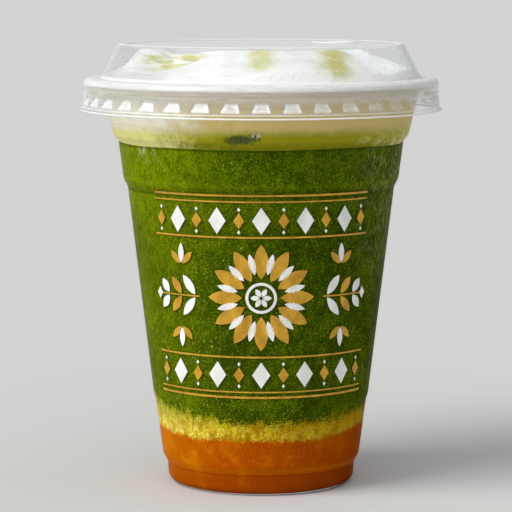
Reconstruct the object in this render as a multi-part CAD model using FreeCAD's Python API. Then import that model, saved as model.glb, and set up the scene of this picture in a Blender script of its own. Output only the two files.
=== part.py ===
"""Layered iced drink in a clear plastic cup with a low domed lid.

The cup stands on z = 0 with its axis on Z, and the front of the drink faces -Y.
All sizes are in millimetres.  The cup and the lid are thin shells turned from
one rounded outline each.  The lid takes its sizes from the cup's rim, and each
layer of the drink is cut from the cup's own cavity, so that it meets the wall
and its neighbours face to face.
"""
import FreeCAD
import Part

import math
import os

# ---------------------------------------------------------------- driving sizes
# Cup
CUP_HEIGHT = 114.3
RIM_RADIUS = 49.0            # outside of the rolled rim
CUP_WALL = 0.5
CURL_RADIUS = 2.35           # rolled rim, across its section
CURL_WRAP = 250.0            # degrees that the rim is rolled over
FOOT_RADIUS = 26.55          # where the foot's side would meet the table
FOOT_EDGE = 2.6              # rounding of the foot
FOOT_HEIGHT = 5.5
FOOT_DRAFT = 0.06            # every draft is millimetres outwards per millimetre up
FOOT_SHOULDER = 1.3          # outward step above the foot
FOOT_SHOULDER_HEIGHT = 2.4
STAND_WIDTH = 4.4            # from the foot's corner in to the hollow of the base
PUNT_SLOPE_WIDTH = 1.8
PUNT_HEIGHT = 2.0            # hollow under the base
PUNT_CROWN = 0.6             # the base rises this much more to its middle
PUNT_EDGE = 2.0              # rounding at the top of the hollow's side
STAND_EDGE = 0.8             # rounding between the hollow and the ring it stands on
LOWER_BAND_TOP = 23.8
LOWER_BAND_DRAFT = 0.138
LOWER_STEP = 0.45
LOWER_STEP_HEIGHT = 1.1
GRIP_SHOULDER_DROP = 30.3    # lower end of the grip shoulder, below the rim
GRIP_SHOULDER = 1.2
GRIP_SHOULDER_HEIGHT = 2.4
GRIP_BAND_DRAFT = 0.129
STACK_SHOULDER_DROP = 17.4   # lower end of the stacking shoulder, below the rim
STACK_SHOULDER = 1.4
STACK_SHOULDER_HEIGHT = 1.8
NECK_DRAFT = 0.24
NECK_STRAIGHT = 1.2          # upright run between the neck and the rolled rim
SHOULDER_EDGE = 1.6          # rounding on top of a shoulder
SHOULDER_ROOT = 0.7          # rounding under a shoulder
FOOT_SHOULDER_EDGE = 3.0     # rounding on top of the foot's shoulder
NECK_EDGE = 3.0              # rounding where the neck turns upright

# Lid
LID_WALL = 0.45
LID_SEAT_GAP = 0.05          # between the rim's top and the lid
LID_SIDE_GAP = 0.45          # between the rim's side and the lid
DOME_HEIGHT = 9.5            # above the bead that covers the rim
DOME_TOP_INSET = 9.9         # dome's top corner, in from the bead's outside
DOME_FOOT_REACH = 1.55       # dome's foot, in from the middle of the rolled rim
DOME_FOOT_SINK = 0.35        # below the bead's top
BEAD_REACH = 0.45            # bead's inner edge, in from the middle of the rolled rim
BEAD_SIDE_HEIGHT = 3.2
NOTCH_DEPTH = 0.35           # groove under the bead
NOTCH_HEIGHT = 0.6
SKIRT_FLARE = 0.4
LIP_FLARE = 0.65
LIP_HEIGHT = 0.9
PLATE_RING_WIDTH = 2.2       # raised ring round the flat top
PLATE_RECESS = 0.5
PLATE_EDGE = 0.8             # from here on, roundings from the plate out to the lip
DOME_EDGE = 1.1
DOME_FOOT_EDGE = 0.6
BEAD_INNER_EDGE = 0.9
BEAD_EDGE = 1.7
NOTCH_EDGE = 0.25
NOTCH_ROOT = 0.15
LIP_EDGE = 0.5

# Snap lugs, pressed into the lid's skirt under the rim
LUG_COUNT = 38
LUG_INSET = 0.85             # deepest face of a lug, in from the bead's outside
LUG_CLEARANCE = 0.45         # between a lug and the underside of the rolled rim
LUG_WIDTH_LOW = 4.8
LUG_WIDTH_HIGH = 3.3
LUG_HEIGHT = 2.1
LUG_TOP_HEIGHT = 0.5
LUG_LIFT = 0.85              # above the skirt's lower end

# Straw hole
HOLE_RADIUS = 5.0
HOLE_INSET = 16.65           # hole's middle, in from the dome's top corner
HOLE_BEARING = 26.5          # degrees from +X towards +Y
COLLAR_WIDTH = 1.3
COLLAR_HEIGHT = 0.6
COLLAR_SLOPE = 0.35

# Layers of the drink
SYRUP_LEVEL = 16.0           # above the table
SLUSH_LEVEL = 21.0           # above the table
PALE_BAND = 5.1              # above the stacking shoulder's lower end
SURFACE_STEPS = 16           # spans each way across a layer's uneven surface
FOAM_STEPS = 30              # spans each way across the foam's surface
SURFACE_MARGIN = 6.0

# Slow waves on the surface between two layers: height, length, heading, phase
SYRUP_WAVES = [(0.25, 34.0, 20.0, 0.4), (0.18, 23.0, 110.0, 1.9)]
SLUSH_WAVES = [(0.55, 46.0, 15.0, 2.2), (0.35, 27.0, 75.0, 0.8), (0.3, 21.0, 140.0, 3.1)]
MATCHA_WAVES = [(0.3, 52.0, 30.0, 1.0), (0.2, 29.0, 95.0, 2.6)]
PALE_WAVES = [(0.6, 48.0, 40.0, 0.3), (0.35, 26.0, 120.0, 1.4)]
SLUSH_TILT = -0.035          # the yellow slush lies higher on the left
PALE_TILT = 0.008

# Foam heap: the edge level is measured up from the rim, the rest along x and y
FOAM_EDGE_RISE = 0.3
# Mounds: x, y, half width left, half width right, half depth front, half depth back,
# height over the edge level, steepness
FOAM_MOUNDS = [
    (4.0, -13.0, 22.0, 27.5, 26.5, 18.5, 8.9, 2.4),      # main mound, up to the plate
    (-32.4, 8.0, 5.0, 7.2, 5.0, 10.0, 6.3, 1.5),         # curled lump on the left
    (-8.4, 7.0, 17.0, 9.5, 4.0, 5.5, 5.2, 1.3),          # saddle between the two
    (29.0, 0.5, 7.0, 15.2, 13.0, 13.0, 2.3, 3.5),        # shelf on the right
]
# Slow swells of the heap: height, length, heading, phase
FOAM_WAVES = [(0.35, 31.0, 65.0, 0.7), (0.25, 19.0, 10.0, 2.0), (0.2, 13.0, 130.0, 0.5)]
FOAM_SHOULDER = 0.4          # foam stays upright beside this share of the rolled rim

# Small fixed allowances
MIN_ROUND = 0.12             # smallest rounding on an inner corner
STRAIGHT_ANGLE = 0.02        # radians: a turn under this is left without an arc
LUG_BLEND = 0.02             # a lug's foot meets the skirt this far inside its face


# ------------------------------------------------------------ outlines and turning
def point(radius, height):
    """A point of a turned outline, in the XZ plane."""
    return FreeCAD.Vector(radius, 0.0, height)


def turn_at(before, corner, after):
    """Directions into and out of a corner, and the signed angle between them."""
    into = (point(*corner[:2]) - point(*before[:2])).normalize()
    out = (point(*after[:2]) - point(*corner[:2])).normalize()
    cross = into.x * out.z - into.z * out.x
    angle = math.atan2(cross, into.dot(out))
    return into, out, angle


def outline_edges(corners):
    """Straight runs joined by tangent arcs, through (radius, height, rounding)."""
    edges = []
    start = point(*corners[0][:2])
    for before, corner, after in zip(corners, corners[1:], corners[2:]):
        into, out, angle = turn_at(before, corner, after)
        tip = point(*corner[:2])
        if abs(angle) < STRAIGHT_ANGLE or corner[2] <= 0.0:
            edges.append(Part.makeLine(start, tip))
            start = tip
            continue
        reach = corner[2] * math.tan(abs(angle) / 2)
        arc_start = tip - into * reach
        arc_end = tip + out * reach
        inward = (out - into).normalize()
        sagitta = corner[2] / math.cos(angle / 2) - corner[2]
        edges.append(Part.makeLine(start, arc_start))
        edges.append(Part.Arc(arc_start, tip + inward * sagitta, arc_end).toShape())
        start = arc_end
    edges.append(Part.makeLine(start, point(*corners[-1][:2])))
    return edges


def offset_corners(corners, distance):
    """Corners of the outline that lies a distance to the left of this one."""
    shifted = []
    for first, second in zip(corners, corners[1:]):
        along = (point(*second[:2]) - point(*first[:2])).normalize()
        side = FreeCAD.Vector(-along.z, 0.0, along.x) * distance
        shifted.append((point(*first[:2]) + side, along))
    moved = [(shifted[0][0].x, shifted[0][0].z, 0.0)]
    for index in range(1, len(corners) - 1):
        base, along = shifted[index - 1]
        other, out = shifted[index]
        angle = turn_at(corners[index - 1], corners[index], corners[index + 1])[2]
        if abs(angle) < STRAIGHT_ANGLE:
            spot = other
        else:
            gap = other - base
            cross = along.x * out.z - along.z * out.x
            spot = base + along * ((gap.x * out.z - gap.z * out.x) / cross)
        rounding = corners[index][2] - distance * math.copysign(1.0, angle)
        moved.append((spot.x, spot.z, max(rounding, MIN_ROUND)))
    base, along = shifted[-1]
    last = point(*corners[-1][:2])
    side = FreeCAD.Vector(-along.z, 0.0, along.x) * distance
    moved.append((last.x + side.x, last.z + side.z, 0.0))
    return moved


def turned(edges):
    """The solid turned about Z from a closed outline."""
    wire = Part.Wire(Part.__sortEdges__(edges))
    return Part.Face(wire).revolve(FreeCAD.Vector(), FreeCAD.Vector(0, 0, 1), 360)


def filled_turn(corners):
    """The solid inside an outline whose two ends are joined across the axis."""
    first = corners[0]
    last = corners[-1]
    edges = outline_edges(corners)
    if last[0] > 0.0:
        edges.append(Part.makeLine(point(last[0], last[1]), point(0.0, last[1])))
    edges.append(Part.makeLine(point(0.0, last[1]), point(0.0, first[1])))
    return turned(edges)


def one_solid(shape):
    """The largest solid of a boolean's result, with its seams cleaned."""
    solids = sorted(shape.Solids, key=lambda solid: solid.Volume)
    return solids[-1].removeSplitter()


# ------------------------------------------------------------------------- cup
def curl_centre():
    """Middle of the rolled rim's section, as radius and height."""
    return RIM_RADIUS - CURL_RADIUS, CUP_HEIGHT - CURL_RADIUS


def cup_corners():
    """The cup's outside, from the middle of the base up to the rolled rim."""
    curl_radius, curl_height = curl_centre()
    neck_radius = curl_radius - CURL_RADIUS + CUP_WALL
    stand_inner = FOOT_RADIUS - STAND_WIDTH
    foot_top = FOOT_RADIUS + FOOT_DRAFT * FOOT_HEIGHT
    band_foot = foot_top + FOOT_SHOULDER
    band_low = FOOT_HEIGHT + FOOT_SHOULDER_HEIGHT
    band_top = band_foot + LOWER_BAND_DRAFT * (LOWER_BAND_TOP - band_low)
    stack_low = CUP_HEIGHT - STACK_SHOULDER_DROP
    stack_high = stack_low + STACK_SHOULDER_HEIGHT
    neck_low = neck_radius - NECK_DRAFT * (curl_height - NECK_STRAIGHT - stack_high)
    grip_low = CUP_HEIGHT - GRIP_SHOULDER_DROP
    grip_high = grip_low + GRIP_SHOULDER_HEIGHT
    grip_top = neck_low - STACK_SHOULDER
    grip_foot = grip_top - GRIP_BAND_DRAFT * (stack_low - grip_high)
    return [
        (0.0, PUNT_HEIGHT + PUNT_CROWN, 0.0),
        (stand_inner - PUNT_SLOPE_WIDTH, PUNT_HEIGHT, PUNT_EDGE),
        (stand_inner, 0.0, STAND_EDGE),
        (FOOT_RADIUS, 0.0, FOOT_EDGE),
        (foot_top, FOOT_HEIGHT, SHOULDER_ROOT),
        (band_foot, band_low, FOOT_SHOULDER_EDGE),
        (band_top, LOWER_BAND_TOP, SHOULDER_ROOT),
        (band_top + LOWER_STEP, LOWER_BAND_TOP + LOWER_STEP_HEIGHT, SHOULDER_ROOT),
        (grip_foot - GRIP_SHOULDER, grip_low, SHOULDER_ROOT),
        (grip_foot, grip_high, SHOULDER_EDGE),
        (grip_top, stack_low, SHOULDER_ROOT),
        (neck_low, stack_high, SHOULDER_EDGE),
        (neck_radius, curl_height - NECK_STRAIGHT, NECK_EDGE),
        (neck_radius, curl_height, 0.0),
    ]


def cup_cavity_corners():
    """The cup's inside, from the middle of the floor up to the rolled rim."""
    inner = offset_corners(cup_corners(), CUP_WALL)
    inner[0] = (0.0, inner[0][1], 0.0)
    return inner


def make_cup():
    """A thin turned cup with a hollow base, three shoulders and a rolled rim."""
    outer = cup_corners()
    inner = cup_cavity_corners()
    radius, height = curl_centre()
    end = math.radians(180.0 - CURL_WRAP)
    middle = (math.pi + end) / 2

    def on_curl(size, angle):
        return point(radius + size * math.cos(angle), height + size * math.sin(angle))

    inside = CURL_RADIUS - CUP_WALL
    tip = CURL_RADIUS - CUP_WALL / 2
    bulge = end - (CUP_WALL / 2) / tip
    edges = outline_edges(outer)
    edges.append(Part.Arc(on_curl(inside, math.pi), on_curl(inside, middle),
                          on_curl(inside, end)).toShape())
    edges.append(Part.Arc(on_curl(inside, end), on_curl(tip, bulge),
                          on_curl(CURL_RADIUS, end)).toShape())
    edges.append(Part.Arc(on_curl(CURL_RADIUS, end), on_curl(CURL_RADIUS, middle),
                          on_curl(CURL_RADIUS, math.pi)).toShape())
    edges.extend(outline_edges(inner))
    edges.append(Part.makeLine(point(0.0, outer[0][1]), point(0.0, inner[0][1])))
    return turned(edges)


# ------------------------------------------------------------------------- lid
def lug_slant():
    """Sideways thickness of the lid's wall across a lug's sloping face."""
    return LID_WALL * math.hypot(LUG_INSET + SKIRT_FLARE, LUG_HEIGHT) / LUG_HEIGHT


def lug_level(bead_side):
    """Height of a lug's deepest edge, clear of the rolled rim's underside."""
    curl_radius, curl_height = curl_centre()
    inner_face = bead_side - LUG_INSET - lug_slant()
    across = min(max(inner_face - LUG_CLEARANCE - curl_radius, 0.0), CURL_RADIUS)
    return curl_height - math.sqrt(CURL_RADIUS ** 2 - across ** 2) - LID_WALL


def lid_levels():
    """Named radii and heights of the lid, from the rim that it covers."""
    bead_top = CUP_HEIGHT + LID_SEAT_GAP + LID_WALL
    bead_side = RIM_RADIUS + LID_SIDE_GAP + LID_WALL
    notch_top = bead_top - BEAD_SIDE_HEIGHT
    lug_high = lug_level(bead_side)
    lug_low = lug_high - LUG_HEIGHT
    return {
        "bead_top": bead_top,
        "bead_side": bead_side,
        "dome_top": bead_top + DOME_HEIGHT,
        "plate": bead_top + DOME_HEIGHT - PLATE_RECESS,
        "notch_top": notch_top,
        "skirt_top": notch_top - NOTCH_HEIGHT,
        "lug_high": lug_high,
        "lug_low": lug_low,
        "skirt_low": lug_low - LUG_LIFT,
    }


def lid_corners():
    """The lid's outside, from the middle of the plate out and down to its lip."""
    at = lid_levels()
    side = at["bead_side"]
    rim_middle = curl_centre()[0]
    dome_corner = side - DOME_TOP_INSET
    notch_mid = at["notch_top"] - NOTCH_HEIGHT / 2
    return [
        (0.0, at["plate"], 0.0),
        (dome_corner - PLATE_RING_WIDTH, at["plate"], PLATE_EDGE),
        (dome_corner - PLATE_RING_WIDTH / 2, at["dome_top"], PLATE_EDGE),
        (dome_corner, at["dome_top"], DOME_EDGE),
        (rim_middle - DOME_FOOT_REACH, at["bead_top"] - DOME_FOOT_SINK, DOME_FOOT_EDGE),
        (rim_middle - BEAD_REACH, at["bead_top"], BEAD_INNER_EDGE),
        (side, at["bead_top"], BEAD_EDGE),
        (side, at["notch_top"], NOTCH_EDGE),
        (side - NOTCH_DEPTH, notch_mid, NOTCH_ROOT),
        (side, at["skirt_top"], NOTCH_EDGE),
        (side + SKIRT_FLARE, at["skirt_low"], LIP_EDGE),
        (side + SKIRT_FLARE + LIP_FLARE, at["skirt_low"] - LIP_HEIGHT, 0.0),
    ]


def lid_cavity_corners():
    """The lid's inside, in the same order as its outside."""
    inner = offset_corners(lid_corners(), -LID_WALL)
    inner[0] = (0.0, inner[0][1], 0.0)
    return inner


def skirt_radius(height):
    """Outer radius of the lid's skirt at a height."""
    at = lid_levels()
    share = (at["skirt_top"] - height) / (at["skirt_top"] - at["skirt_low"])
    return at["bead_side"] + SKIRT_FLARE * share


def lug_block(grow, angle):
    """A wedge that presses one snap lug into the skirt, widening downwards."""
    at = lid_levels()
    deep = at["bead_side"] - LUG_INSET - lug_slant() * grow / LID_WALL
    foot = skirt_radius(at["lug_low"]) - grow + LUG_BLEND
    front = at["bead_side"] + SKIRT_FLARE + 2 * LUG_INSET
    high = at["lug_high"] + grow
    sections = [
        (at["lug_low"], foot, LUG_WIDTH_LOW / 2 + grow),
        (high, deep, LUG_WIDTH_HIGH / 2 + grow),
        (high + LUG_TOP_HEIGHT, deep + LUG_TOP_HEIGHT, LUG_WIDTH_HIGH / 2 + grow / 2),
    ]
    wires = []
    for height, back, half in sections:
        wires.append(Part.makePolygon([
            FreeCAD.Vector(back, -half, height),
            FreeCAD.Vector(front, -half, height),
            FreeCAD.Vector(front, half, height),
            FreeCAD.Vector(back, half, height),
            FreeCAD.Vector(back, -half, height),
        ]))
    block = Part.makeLoft(wires, True, True)
    block.rotate(FreeCAD.Vector(), FreeCAD.Vector(0, 0, 1), angle)
    return block


def lug_blocks(grow):
    """All the lugs' wedges, one of them square to the front."""
    pitch = 360.0 / LUG_COUNT
    return [lug_block(grow, -90.0 + pitch * index) for index in range(LUG_COUNT)]


def hole_centre(height):
    """Middle of the straw hole, at a height."""
    reach = lid_levels()["bead_side"] - DOME_TOP_INSET - HOLE_INSET
    bearing = math.radians(HOLE_BEARING)
    return FreeCAD.Vector(reach * math.cos(bearing), reach * math.sin(bearing), height)


def collar_cone(grow):
    """The raised collar round the straw hole, or the same form on its underside."""
    wide = HOLE_RADIUS + COLLAR_WIDTH - grow
    base = hole_centre(lid_levels()["plate"] - grow)
    return Part.makeCone(wide + COLLAR_SLOPE, wide, COLLAR_HEIGHT, base)


def make_lid():
    """A thin formed lid: domed top, rim bead, snap lugs, skirt and straw hole."""
    outer = filled_turn(lid_corners())
    cavity = filled_turn(lid_cavity_corners())
    outer = outer.fuse(collar_cone(0.0)).cut(lug_blocks(0.0))
    cavity = cavity.cut(lug_blocks(LID_WALL)).fuse(collar_cone(LID_WALL))
    hole = Part.makeCylinder(HOLE_RADIUS, 4 * LID_WALL + 2 * COLLAR_HEIGHT,
                             hole_centre(lid_levels()["plate"] - 2 * LID_WALL))
    return one_solid(outer.cut(cavity).cut(hole))


# ------------------------------------------------------------- uneven surfaces
def swell(x, y, waves):
    """Sum of slow waves at a point."""
    total = 0.0
    for height, length, heading, phase in waves:
        along = x * math.cos(math.radians(heading)) + y * math.sin(math.radians(heading))
        total += height * math.sin(2 * math.pi * along / length + phase)
    return total


def below(height_at, steps, depth):
    """The block of matter under a surface given by a height function."""
    reach = RIM_RADIUS + SURFACE_MARGIN
    spots = [-reach + 2 * reach * index / steps for index in range(steps + 1)]
    grid = [[FreeCAD.Vector(x, y, height_at(x, y)) for y in spots] for x in spots]
    surface = Part.BSplineSurface()
    surface.interpolate(grid)
    return surface.toShape().extrude(FreeCAD.Vector(0, 0, -depth))


def layer_surface(level, waves, tilt=0.0):
    """The block under the uneven top of a liquid layer."""
    return below(lambda x, y: level + tilt * x + swell(x, y, waves), SURFACE_STEPS, CUP_HEIGHT)


# ----------------------------------------------------------------------- drink
def drink_cavity():
    """All the room inside the cup, up to the middle of the rolled rim."""
    return filled_turn(cup_cavity_corners())


def head_room():
    """The room above the cup's cavity, inside the rolled rim and the lid's dome."""
    curl_height = curl_centre()[1]
    wall_radius = cup_cavity_corners()[-1][0]
    dome = lid_cavity_corners()[:5]
    foot_radius, foot_height = dome[-1][:2]
    corners = dome[:-1] + [
        (foot_radius, foot_height, 0.0),
        (wall_radius, curl_height + FOAM_SHOULDER * CURL_RADIUS, 0.0),
        (wall_radius, curl_height, 0.0),
    ]
    return filled_turn(corners)


def foam_height(x, y):
    """Top of the foam heap: wide mounds on an edge level, with slow swells."""
    total = CUP_HEIGHT + FOAM_EDGE_RISE + swell(x, y, FOAM_WAVES)
    for cx, cy, left, right, front, back, height, steepness in FOAM_MOUNDS:
        across = (x - cx) / (left if x < cx else right)
        depth = (y - cy) / (front if y < cy else back)
        total += height / (1.0 + (across ** 2 + depth ** 2) ** steepness)
    return total


def make_drink():
    """The layers from the base up, each cut from the room it fills."""
    cavity = drink_cavity()
    stack_low = CUP_HEIGHT - STACK_SHOULDER_DROP
    under_syrup_top = layer_surface(SYRUP_LEVEL, SYRUP_WAVES)
    under_slush_top = layer_surface(SLUSH_LEVEL, SLUSH_WAVES, SLUSH_TILT)
    under_matcha_top = layer_surface(stack_low, MATCHA_WAVES)
    under_pale_top = layer_surface(stack_low + PALE_BAND, PALE_WAVES, PALE_TILT)
    under_foam_top = below(foam_height, FOAM_STEPS, CUP_HEIGHT)
    room = cavity.fuse(head_room()).removeSplitter()
    return {
        "syrup_layer": one_solid(cavity.common(under_syrup_top)),
        "slush_layer": one_solid(cavity.common(under_slush_top).cut(under_syrup_top)),
        "matcha_layer": one_solid(cavity.common(under_matcha_top).cut(under_slush_top)),
        "pale_layer": one_solid(cavity.common(under_pale_top).cut(under_matcha_top)),
        "foam": one_solid(room.common(under_foam_top).cut(under_pale_top)),
    }


def main():
    """Build every node and write it to parts/."""
    os.makedirs("parts", exist_ok=True)
    nodes = {"cup": make_cup(), "lid": make_lid()}
    nodes.update(make_drink())
    for name, shape in nodes.items():
        if not shape.isValid() or shape.Volume <= 0.0:
            raise ValueError("no sound solid for " + name)
        shape.exportStep("parts/" + name + ".step")
        box = shape.BoundBox
        print("%-13s %9.1f mm3  z %.2f to %.2f  faces %d" % (
            name, shape.Volume, box.ZMin, box.ZMax, len(shape.Faces)))


main()
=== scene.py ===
"""Layered iced drink in a clear lidded cup: its visible pieces, finishes, light and camera.

The cup stands on z = 0 with its axis on Z and its front towards -Y.  Lengths are in metres,
and in millimetres inside the finishes.
"""
import logging
import math
import random
from dataclasses import dataclass, field
from enum import Enum
from typing import Callable, Sequence

import bmesh
import bpy
from mathutils import Euler, Matrix, Vector, noise


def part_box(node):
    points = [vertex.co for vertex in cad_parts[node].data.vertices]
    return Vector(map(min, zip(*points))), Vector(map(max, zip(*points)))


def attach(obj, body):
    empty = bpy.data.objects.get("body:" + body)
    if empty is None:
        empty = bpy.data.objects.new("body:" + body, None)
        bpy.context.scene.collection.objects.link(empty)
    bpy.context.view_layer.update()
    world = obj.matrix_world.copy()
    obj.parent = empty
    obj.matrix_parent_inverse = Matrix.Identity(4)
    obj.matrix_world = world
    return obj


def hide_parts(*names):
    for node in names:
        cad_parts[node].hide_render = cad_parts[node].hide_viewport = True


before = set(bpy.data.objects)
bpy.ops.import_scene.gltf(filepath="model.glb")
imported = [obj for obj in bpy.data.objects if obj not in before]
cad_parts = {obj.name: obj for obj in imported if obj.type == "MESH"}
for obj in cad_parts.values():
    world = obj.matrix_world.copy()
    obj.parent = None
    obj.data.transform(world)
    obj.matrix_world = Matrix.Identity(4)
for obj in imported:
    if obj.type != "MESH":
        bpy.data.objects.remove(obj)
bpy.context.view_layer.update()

LOG = logging.getLogger("iced_drink")
MM = 0.001
NEAR = 1e-6              # two points nearer than this are one
BODY = "root"
LUG = "lug"              # the lid's attribute that marks its pressed lugs
Z_AXIS = Vector((0.0, 0.0, 1.0))
Colour = tuple[float, float, float]
Spot = tuple[float, float]
Lookup = Callable[[float], float]
Mesh = bmesh.types.BMesh
Socket = bpy.types.NodeSocket
Piece = bpy.types.Object


# ---------------------------------------------------------------------------- shader maths
class Value:
    """A number that varies over a surface; sums and products of it add Math nodes."""

    def __init__(self, shader: "Shader", socket: Socket) -> None:
        """Wrap one output socket of a shader's tree."""
        self.shader = shader
        self.socket = socket

    def math(self, operation: str, *terms: "Value | float") -> "Value":
        """Add a Math node with these inputs and return its result."""
        node = self.shader.add("ShaderNodeMath", {"operation": operation}, dict(enumerate(terms)))
        return Value(self.shader, node.outputs[0])

    def __add__(self, other: "Value | float") -> "Value":
        """Sum."""
        return self.math("ADD", self, other)

    __radd__ = __add__

    def __sub__(self, other: "Value | float") -> "Value":
        """Difference."""
        return self.math("SUBTRACT", self, other)

    def __rsub__(self, other: float) -> "Value":
        """Difference with the number on the left."""
        return self.math("SUBTRACT", other, self)

    def __mul__(self, other: "Value | float") -> "Value":
        """Product."""
        return self.math("MULTIPLY", self, other)

    __rmul__ = __mul__

    def __truediv__(self, other: "Value | float") -> "Value":
        """Quotient."""
        return self.math("DIVIDE", self, other)

    def size(self) -> "Value":
        """Absolute value."""
        return self.math("ABSOLUTE", self)

    def most(self, other: "Value | float") -> "Value":
        """The larger of two."""
        return self.math("MAXIMUM", self, other)

    def least(self, other: "Value | float") -> "Value":
        """The smaller of two."""
        return self.math("MINIMUM", self, other)

    def power(self, exponent: float) -> "Value":
        """Raised to an exponent."""
        return self.math("POWER", self, exponent)

    def above(self, level: "Value | float") -> "Value":
        """One where the value is over a level, or else nought."""
        return self.math("GREATER_THAN", self, level)

    def rise(self, low: float, high: float) -> "Value":
        """A soft step from 0 to 1.

        Args:
            low: Where the step starts.
            high: Where it ends; below low, the step falls.

        Returns:
            The step.
        """
        start, end, first, last = (low, high, 0.0, 1.0) if low < high else (high, low, 1.0, 0.0)
        node = self.shader.add(
            "ShaderNodeMapRange", {"interpolation_type": "SMOOTHSTEP", "clamp": True},
            {"Value": self, "From Min": start, "From Max": end, "To Min": first, "To Max": last})
        return Value(self.shader, node.outputs[0])

    def hump(self, middle: float, reach: float) -> "Value":
        """A soft hump, 1 at the middle and 0 beyond its reach."""
        return (self - middle).size().rise(reach, 0.0)


class Shader:
    """The node tree of one material, or of the world."""

    def __init__(self, name: str, world: bool = False) -> None:
        """Start an empty tree.

        Args:
            name: The material's or the world's name.
            world: Whether it is the world's tree.
        """
        self.world = world
        self.owner = (bpy.data.worlds if world else bpy.data.materials).new(name)
        self.owner.use_nodes = True
        self.tree = self.owner.node_tree
        self.tree.nodes.clear()

    def add(self, kind: str, settings: dict[str, object] | None = None,
            values: dict[str | int, object] | None = None) -> bpy.types.Node:
        """Add a node.

        Args:
            kind: The node's type.
            settings: Properties, set first.
            values: Numbers, colours or links of its sockets, by name or place.

        Returns:
            The node.
        """
        node = self.tree.nodes.new(kind)
        for key, setting in (settings or {}).items():
            setattr(node, key, setting)
        for key, value in (values or {}).items():
            socket = node.inputs[key]
            if isinstance(value, Value):
                value = value.socket
            if isinstance(value, Socket):
                self.tree.links.new(value, socket)
            elif isinstance(value, tuple) and socket.type == "RGBA" and len(value) == 3:
                socket.default_value = (*value, 1.0)
            else:
                socket.default_value = value
        return node

    def place(self, stretch: Sequence[float] = (1.0, 1.0, 1.0)) -> Socket:
        """Object coordinates in millimetres, stretched.

        Args:
            stretch: How many times longer a pattern gets along each axis.

        Returns:
            The mapped coordinates.
        """
        coords = self.add("ShaderNodeTexCoord").outputs["Object"]
        scale = tuple(1.0 / (MM * share) for share in stretch)
        return self.add("ShaderNodeMapping", None, {"Vector": coords, "Scale": scale}).outputs[0]

    def axes(self) -> tuple[Value, Value, Value]:
        """Object coordinates in millimetres, one value for each axis."""
        node = self.add("ShaderNodeSeparateXYZ", None, {0: self.place()})
        return tuple(Value(self, out) for out in node.outputs)

    def noise(self, spot: Socket, length: float, detail: float, warp: float = 0.0) -> Value:
        """Soft noise, 0 to 1.

        Args:
            spot: Coordinates in millimetres.
            length: Size of its features in millimetres.
            detail: Octaves of finer noise.
            warp: Distortion.

        Returns:
            The noise.
        """
        node = self.add("ShaderNodeTexNoise", {"noise_dimensions": "3D"}, {
            "Vector": spot, "Scale": 1.0 / length, "Detail": detail, "Distortion": warp})
        return Value(self, node.outputs[0])

    def cloud(self, length: float, detail: float = 2.0,
              stretch: Sequence[float] = (1.0, 1.0, 1.0), warp: float = 0.0) -> Value:
        """Soft noise in object coordinates, stretched along the axes."""
        return self.noise(self.place(stretch), length, detail, warp)

    def hoops(self, length: float, wander: float = 16.0, reach: float = 3.0) -> Value:
        """Fine rings round the upright axis that wander slowly, 0 to 1.

        Args:
            length: Spacing of the rings in millimetres.
            wander: Length over which they wander.
            reach: How far they wander.

        Returns:
            The pattern.
        """
        across, depth, height = self.axes()
        drift = self.cloud(wander, 1.0) * reach
        radius = (across * across + depth * depth).power(0.5)
        spot = self.add("ShaderNodeCombineXYZ", None, {
            0: radius + drift, 1: drift * 2.0, 2: height})
        return self.noise(spot.outputs[0], length, 2.0)

    def grains(self, length: float,
               stretch: Sequence[float] = (1.0, 1.0, 1.0)) -> tuple[Value, Value]:
        """Separate grains.

        Args:
            length: Spacing of the grains in millimetres.
            stretch: How many times longer along each axis.

        Returns:
            Distance from a grain's middle in spacings, and a number picked for each grain.
        """
        node = self.add("ShaderNodeTexVoronoi", {"voronoi_dimensions": "3D", "feature": "F1"}, {
            "Vector": self.place(stretch), "Scale": 1.0 / length})
        pick = self.add("ShaderNodeSeparateColor", None, {0: node.outputs["Color"]})
        return Value(self, node.outputs["Distance"]), Value(self, pick.outputs[0])

    def facing(self, normal: Socket | None = None, blend: float = 0.5) -> Value:
        """How far a surface turns from the eye, 0 where it faces it.

        Args:
            normal: The surface's normal, if it has bump.
            blend: The node's bias.

        Returns:
            The share.
        """
        values = {"Blend": blend} if normal is None else {"Blend": blend, "Normal": normal}
        return Value(self, self.add("ShaderNodeLayerWeight", None, values).outputs["Facing"])

    def mix(self, share: Value, low: Socket | Colour, high: Socket | Colour) -> Socket:
        """Blend two colours, the first at a share of 0 and the second at 1."""
        node = self.add("ShaderNodeMix", {"data_type": "RGBA", "clamp_factor": True},
                        {0: share, 6: low, 7: high})
        return node.outputs[2]

    def coats(self, base: Socket, *coats: tuple[Value, Colour]) -> Socket:
        """Lay colours over a base, one after another.

        Args:
            base: The base colour.
            coats: Each coat's share and colour.

        Returns:
            The colour on top.
        """
        for share, colour in coats:
            base = self.mix(share, base, colour)
        return base

    def relief(self, height: Value, depth: float) -> Socket:
        """The normal of a bump from a height of 0 to 1, by its depth in millimetres."""
        return self.add("ShaderNodeBump", None, {
            "Height": height, "Distance": depth * MM, "Strength": 1.0}).outputs[0]

    def glass(self, tint: Colour) -> Socket:
        """A see-through surface with a tint."""
        return self.add("ShaderNodeBsdfTransparent", None, {"Color": tint}).outputs[0]

    def solid(self, values: dict[str | int, object]) -> Socket:
        """A Principled surface with these socket values."""
        return self.add("ShaderNodeBsdfPrincipled", None, values).outputs[0]

    def blend(self, share: Value, first: Socket, second: Socket) -> Socket:
        """Mix two surfaces, with the second's share from 0 to 1."""
        return self.add("ShaderNodeMixShader", None, {0: share, 1: first, 2: second}).outputs[0]

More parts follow.
